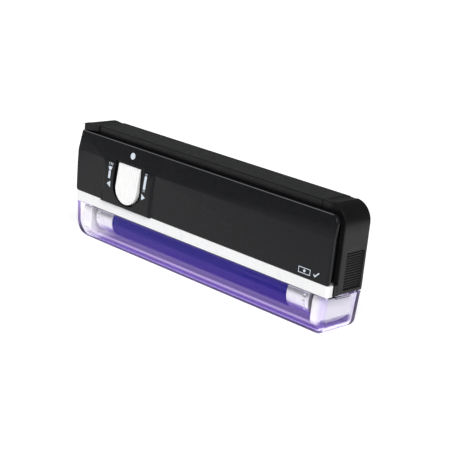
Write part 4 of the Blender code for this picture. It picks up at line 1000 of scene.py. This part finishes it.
def strip_plan():
    """The strip seen from above: a shallow tray edge with a return at each end."""
    left, right, front = STRIP_LOW.x, STRIP_HIGH.x, -HALF_DEPTH
    wall, radius, left_return, right_return = 1.2, 1.3, -9.5, -7.7
    points = [(left, left_return)]
    points += lower_corners(left, right, front, radius)
    points += [(right, right_return), (right - wall, right_return)]
    points += [(right - wall, front + wall), (left + wall, front + wall)]
    points.append((left + wall, left_return))
    return points


def make_tube():
    outer, inner, end = TUBE_RADIUS, TUBE_RADIUS - 1.0, TUBE_HIGH.x
    profile = [(-end, outer - 0.2), (-end + 0.2, outer), (end - 0.2, outer), (end, outer - 0.2)]
    profile += [(end, inner), (-end, inner)]
    tube = turned("lamp_tube_glass", profile, (0, TUBE_Z), "X", 96, closed=True)
    return place(smooth(tube), lamp_glass(), "lamp_glass", "case", "lamp_tube")


def make_cap(side, end):
    """A tube end cap with a ring of small crimps near its outer end."""
    low, high = span(f"lamp_cap_{end}")
    radius = (high.z - low.z) / 2
    inner, outer = sorted((abs(low.x), abs(high.x)))
    step = TUBE_HIGH.x + GAP
    sides, crimps = 144, 24

    def ring(x, r, dent=0.0):
        points = []
        for i in range(sides):
            a = 2 * math.pi * i / sides
            depth = dent * max(0.0, math.cos(crimps * a)) ** 2
            y, z = (r - depth) * math.cos(a), TUBE_Z + (r - depth) * math.sin(a)
            points.append((side * x, y, z))
        return points

    spigot, edge, shoulder = radius - 1.4, 0.25, 1.2
    rings = [ring(inner, spigot), ring(step, spigot)]
    rings += [ring(step, radius - edge), ring(step + edge, radius)]
    crimp_start, crimp_end = outer - 3.2, outer - 1.6
    for i in range(9):
        part = i / 8
        x = crimp_start + (crimp_end - crimp_start) * part
        rings.append(ring(x, radius, 0.28 * math.sin(math.pi * part)))
    for depth, inset in rounded_steps(shoulder):
        rings.append(ring(outer - shoulder + depth, radius - inset))
    rings.append(ring(outer, radius - 1.6))
    cap = loft(f"lamp_cap_{end}_shell", rings)
    return place(smooth(cap), ALUMINIUM, "aluminium", "case", f"lamp_cap_{end}")


def make_socket(side, end):
    """A white end block with a pocket that takes the lamp's two pins."""
    low, high = span(f"lamp_socket_{end}")
    half, bottom, corner = 8.5, low.z, 3.2
    outline = arc((0, TUBE_Z), half, 0, 180, 3 * ARC_STEPS)
    outline += lower_corners(-half, half, bottom, corner)
    block = prism(f"lamp_socket_{end}_block", outline, "X", low.x, high.x)
    inner, outer = sorted((abs(low.x), abs(high.x)))
    near, far = sorted((side * (inner - 1), side * (outer - 1.2)))
    pocket = rounded_rectangle(-2.4, 2.4, TUBE_Z - 5.2, TUBE_Z + 5.2, 1.0)
    toe = [(side * x, z) for x, z in ((71.8, 2.0), (77.5, 2.0), (77.5, 7.4))]
    chamfer = prism("chamfer", toe, "Y", -FAR, FAR)
    cut(block, prism("pocket", pocket, "X", near, far), chamfer)
    soften(block, 0.3, 3)
    return place(block, WHITE, "white_plastic", "case", f"lamp_socket_{end}")


# ---- knob and print


def make_knob():
    """The white thumb pad with upright ribs, a rounded rim and its stem."""
    outline = knob_outline()
    middle = Vector((KNOB_X, SWITCH_Z))

    def ring(y, inset):
        points = []
        for x, z in outline:
            away = (Vector((x, z)) - middle) * (1 - inset / KNOB_HALF_WIDTH)
            points.append((KNOB_X + away.x, y, SWITCH_Z + away.y))
        return points

    edge = 0.6
    rings = [ring(KNOB_BACK, 0), ring(KNOB_FRONT + edge, 0)]
    rings += [ring(KNOB_FRONT + edge - d, inset) for d, inset in rounded_steps(edge)]
    pad = loft("switch_knob_pad", rings)
    ribs, depth, mouth, shoulder = 11, 0.42, 0.45, 0.36
    pitch = 2 * (KNOB_HALF_WIDTH - edge) / ribs
    grooves = []
    for i in range(1, ribs):
        x = KNOB_X - KNOB_HALF_WIDTH + edge + pitch * i
        plan = [
            (x - mouth, KNOB_FRONT - 0.3), (x + mouth, KNOB_FRONT - 0.3),
            (x + shoulder, KNOB_FRONT + 0.02), (x, KNOB_FRONT + depth),
            (x - shoulder, KNOB_FRONT + 0.02),
        ]
        grooves.append(prism("rib_groove", plan, "Z", KNOB_BOTTOM - 1, KNOB_TOP + 1))
    cut(pad, *grooves)
    wedge_start = KNOB_BOTTOM + KNOB_HALF_WIDTH
    thinning = (KNOB_TOP_FRONT - KNOB_FRONT) / (KNOB_BACK - KNOB_FRONT) / (KNOB_TOP - wedge_start)
    reshape_above(
        pad, wedge_start, lambda y, rise: KNOB_BACK + (y - KNOB_BACK) * (1 - thinning * rise)
    )
    stem = box(
        "knob_stem", (KNOB_X - STEM_HALF_WIDTH, KNOB_BACK - 0.5, SWITCH_Z - STEM_HALF_HEIGHT),
        (KNOB_X + STEM_HALF_WIDTH, STEM_BACK, SWITCH_Z + STEM_HALF_HEIGHT),
    )
    add(pad, stem)
    soften(pad, 0)
    return place(pad, WHITE, "white_plastic", "switch", "switch_knob")


def printed(name, outlines, face, lift=0.03):
    """Thin printed shapes that follow the panel: each outline is (X, Z) points."""
    heights = [z for outline in outlines for _, z in outline]
    low, high = min(heights), max(heights)
    mesh = bpy.data.meshes.new(name)
    with mesh_edit(mesh) as work:
        for outline in outlines:
            work.faces.new([work.verts.new((x, 0, z)) for x, z in outline])
        for i in range(1, math.ceil(high - low)):
            slice_level(work, low + i, 1e-6)
        bmesh.ops.recalc_face_normals(work, faces=work.faces)
        made = bmesh.ops.extrude_face_region(work, geom=work.faces[:])
        front = {item for item in made["geom"] if isinstance(item, bmesh.types.BMVert)}
        for vertex in work.verts:
            x, z = vertex.co.x, vertex.co.z
            y = face(z) + (-lift if vertex in front else lift)
            vertex.co = Vector((x, y, z)) * MM
        bmesh.ops.recalc_face_normals(work, faces=work.faces)
    return place(link(name, mesh), INK, "white_plastic", "case")


def bar(left, right, bottom, top):
    return [(left, bottom), (right, bottom), (right, top), (left, top)]


def arrow(x, z, way):
    """An arrow head whose tip points to the left (way -1) or to the right (way 1)."""
    tip, half = way * 1.2, way * 1.5
    return [(x + tip, z), (x - tip, z + half), (x - tip, z - half)]


def make_print():
    """Generic marks in place of words: two arrows, a torch, a tube, a dot and a banknote."""
    printed("off_mark", [circle((KNOB_X + 0.4, 46.95), 1.52, 40)], plate_face)
    left, right = -56.3, -31.8
    printed("torch_arrow", [arrow(left, 31.0, -1)], plate_face)
    printed("tube_arrow", [arrow(right, 30.4, 1)], plate_face)
    head = [(left - 0.7, 37.6), (left + 0.7, 37.6), (left + 1.4, 39.2), (left - 1.4, 39.2)]
    rays = [bar(left + x - 0.18, left + x + 0.18, 39.9, 41.1) for x in (-1.1, 0.0, 1.1)]
    torch = [bar(left - 0.7, left + 0.7, 33.6, 37.2), head, *rays]
    printed("torch_sign", torch, plate_face)
    body = rounded_rectangle(right - 0.75, right + 0.75, 34.0, 40.4, 0.5, 4)
    places = [(right + x, z) for x in (-0.4, 0.4) for z in (33.0, 40.7)]
    pins = [bar(x - 0.16, x + 0.16, z, z + 0.7) for x, z in places]
    printed("tube_sign", [body, *pins], plate_face)
    left, right, low, high = 63.0, 69.4, 23.6, 26.2
    line = 0.28
    side_low, side_high = low + line + 0.02, high - line - 0.02
    border = [
        bar(left, right, low, low + line), bar(left, right, high - line, high),
        bar(left, left + line, side_low, side_high), bar(right - line, right, side_low, side_high),
    ]
    middle = ((left + right) / 2, (low + high) / 2)
    tick = [(71.0, 24.8), (71.9, 23.8), (74.2, 26.0), (73.8, 26.3), (71.9, 24.5), (71.35, 25.1)]
    marks = [*border, circle(middle, 0.62, 24), tick]
    printed("banknote_sign", marks, lambda z: -HALF_DEPTH)


# ---- inner pieces from the CAD


def finish_node(name, made, edge):
    """Gives a CAD node a finish. It is never moved and its own mesh stays as it is."""
    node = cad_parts[name]
    dress(node, made)
    weld = node.modifiers.new("weld", "WELD")
    weld.merge_threshold = 0.001 * MM
    if edge:
        bevel(node, edge)
    even_normals(node, False)


WHITE = moulded("white_plastic", (0.82, 0.82, 0.81), 0.38, (0.30, 0.006), (14, 0.012), (3, 0.05))
TRAY = moulded("reflector_plastic", (0.82, 0.82, 0.82), 0.30, (0.35, 0.004), (16, 0.012), (4, 0.05))
INK = moulded("printed_ink", (0.62, 0.68, 0.76), 0.45, (0.12, 0.004), (0.8, 0.06), (0.5, 0.05))
ALUMINIUM = metal("cap_aluminium", (0.86, 0.86, 0.88), 0.34, 0.6, (0.1, 1, 1), depth=0.001)
NICKEL = metal("nickel_plate", (0.66, 0.64, 0.60), 0.26, 0.4)
BRASS = metal("contact_brass", (0.68, 0.47, 0.19), 0.30, 0.4)
STEEL = metal("screw_steel", (0.36, 0.36, 0.38), 0.34, 0.3)
CHROME = metal("torch_chrome", (0.86, 0.86, 0.88), 0.10, 1.5, depth=0.001)
DARK = moulded("dark_moulding", (0.018, 0.018, 0.019), 0.46)
FERRITE = moulded("ferrite", (0.030, 0.030, 0.032), 0.62, (0.2, 0.015))
CAN_SLEEVE = moulded("can_sleeve", (0.020, 0.035, 0.14), 0.28)
FILM_BODY = moulded("film_body", (0.30, 0.045, 0.02), 0.36)
RED_WIRE = moulded("red_insulation", (0.42, 0.018, 0.012), 0.40)
BLACK_WIRE = moulded("black_insulation", (0.012, 0.012, 0.012), 0.40)
LED_LENS = moulded("torch_clear", (0.92, 0.94, 0.96), 0.06, (2.0, 0.001))
LED_LENS.set("Transmission Weight", 1.0)

# Material, rounding of the edges, and how the names of the nodes that have them start.
NODE_FINISHES = (
    (NICKEL, 0.08, ("battery_bridge", "battery_plate_", "slide_switch_body")),
    (NICKEL, 0.0, ("battery_spring_",)),
    (BRASS, 0.05, ("lamp_contact_",)),
    (BRASS, 0.0, ("lamp_pin_",)),
    (STEEL, 0.06, ("case_screw_",)),
    (CHROME, 0.0, ("torch_reflector",)),
    (LED_LENS, 0.0, ("torch_lens", "torch_led")),
    (DARK, 0.1, ("power_transistor", "slide_switch_lever", "switch_carriage")),
    (FERRITE, 0.1, ("transformer_core",)),
    (copper_coil(), 0.1, ("transformer_winding",)),
    (CAN_SLEEVE, 0.0, ("electrolytic_capacitor_",)),
    (FILM_BODY, 0.3, ("film_capacitor",)),
    (resistor_paint(), 0.0, ("resistor_",)),
    (board_lacquer(), 0.1, ("circuit_board",)),
    (cell_sleeve(), 0.0, tuple(f"battery_{number}" for number in range(1, 5))),
    (RED_WIRE, 0.0, ("lamp_wire_right", "battery_wire_positive")),
    (BLACK_WIRE, 0.0, ("lamp_wire_left", "battery_wire_negative")),
)


def finish_inner_nodes():
    for made, edge, starts in NODE_FINISHES:
        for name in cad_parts:
            if name.startswith(starts):
                finish_node(name, made, edge)


# ---- stage


def make_floor():
    """A wide pale floor a hair below the object, which glows a little like a light table."""
    size, below = 12.0, 0.15 * MM
    bpy.ops.mesh.primitive_plane_add(size=size, location=(0, 0, -below))
    floor = bpy.context.object
    floor.name = "studio_floor"
    made = Material("studio_floor", (0.82, 0.82, 0.82), 0.75, Specular_IOR_Level=0.0)
    made.mottle(200.0, 0.004)
    made.set("Emission Color", (1.0, 1.0, 1.0, 1.0))
    made.set("Emission Strength", 0.45)
    dress(floor, made)


def make_lights():
    """One wide soft light from above the front, in an otherwise dim room."""
    light = bpy.data.lights.new("key_light", "SUN")
    light.energy = 2.85
    light.angle = math.radians(50)
    toward = Vector((-0.50, 0.48, -0.75))
    link("key_light", light).rotation_euler = toward.to_track_quat("-Z", "Y").to_euler()
    world = bpy.data.worlds.new("studio")
    bpy.context.scene.world = world
    world.use_nodes = True
    sky = world.node_tree.nodes["Background"]
    sky.inputs["Color"].default_value = (0.95, 0.97, 1.0, 1.0)
    sky.inputs["Strength"].default_value = 0.21


def make_camera():
    """Above and to the right of the front, tilted a little to its side."""
    place = Vector((368.61, -383.73, 178.72)) * MM
    ahead = Vector((-0.65577, 0.70199, -0.27781))
    up = Vector((-0.26472, 0.1308, 0.95541))
    right = ahead.cross(up).normalized()
    up = right.cross(ahead)
    camera = bpy.data.cameras.new("camera")
    camera.lens = 98.771
    camera.sensor_width = 36.0
    made = link("camera", camera)
    turn = Matrix((right, up, -ahead)).transposed()
    made.matrix_world = Matrix.Translation(place) @ turn.to_4x4()
    bpy.context.scene.camera = made


make_camera()
make_lights()
make_floor()
make_case()
make_front_cover()
make_battery_cover()
make_lamp_cover()
make_reflector()
make_tube()
for side, end in ((-1, "left"), (1, "right")):
    make_cap(side, end)
    make_socket(side, end)
make_knob()
make_print()
finish_inner_nodes()
bpy.context.scene.view_settings.view_transform = "Standard"
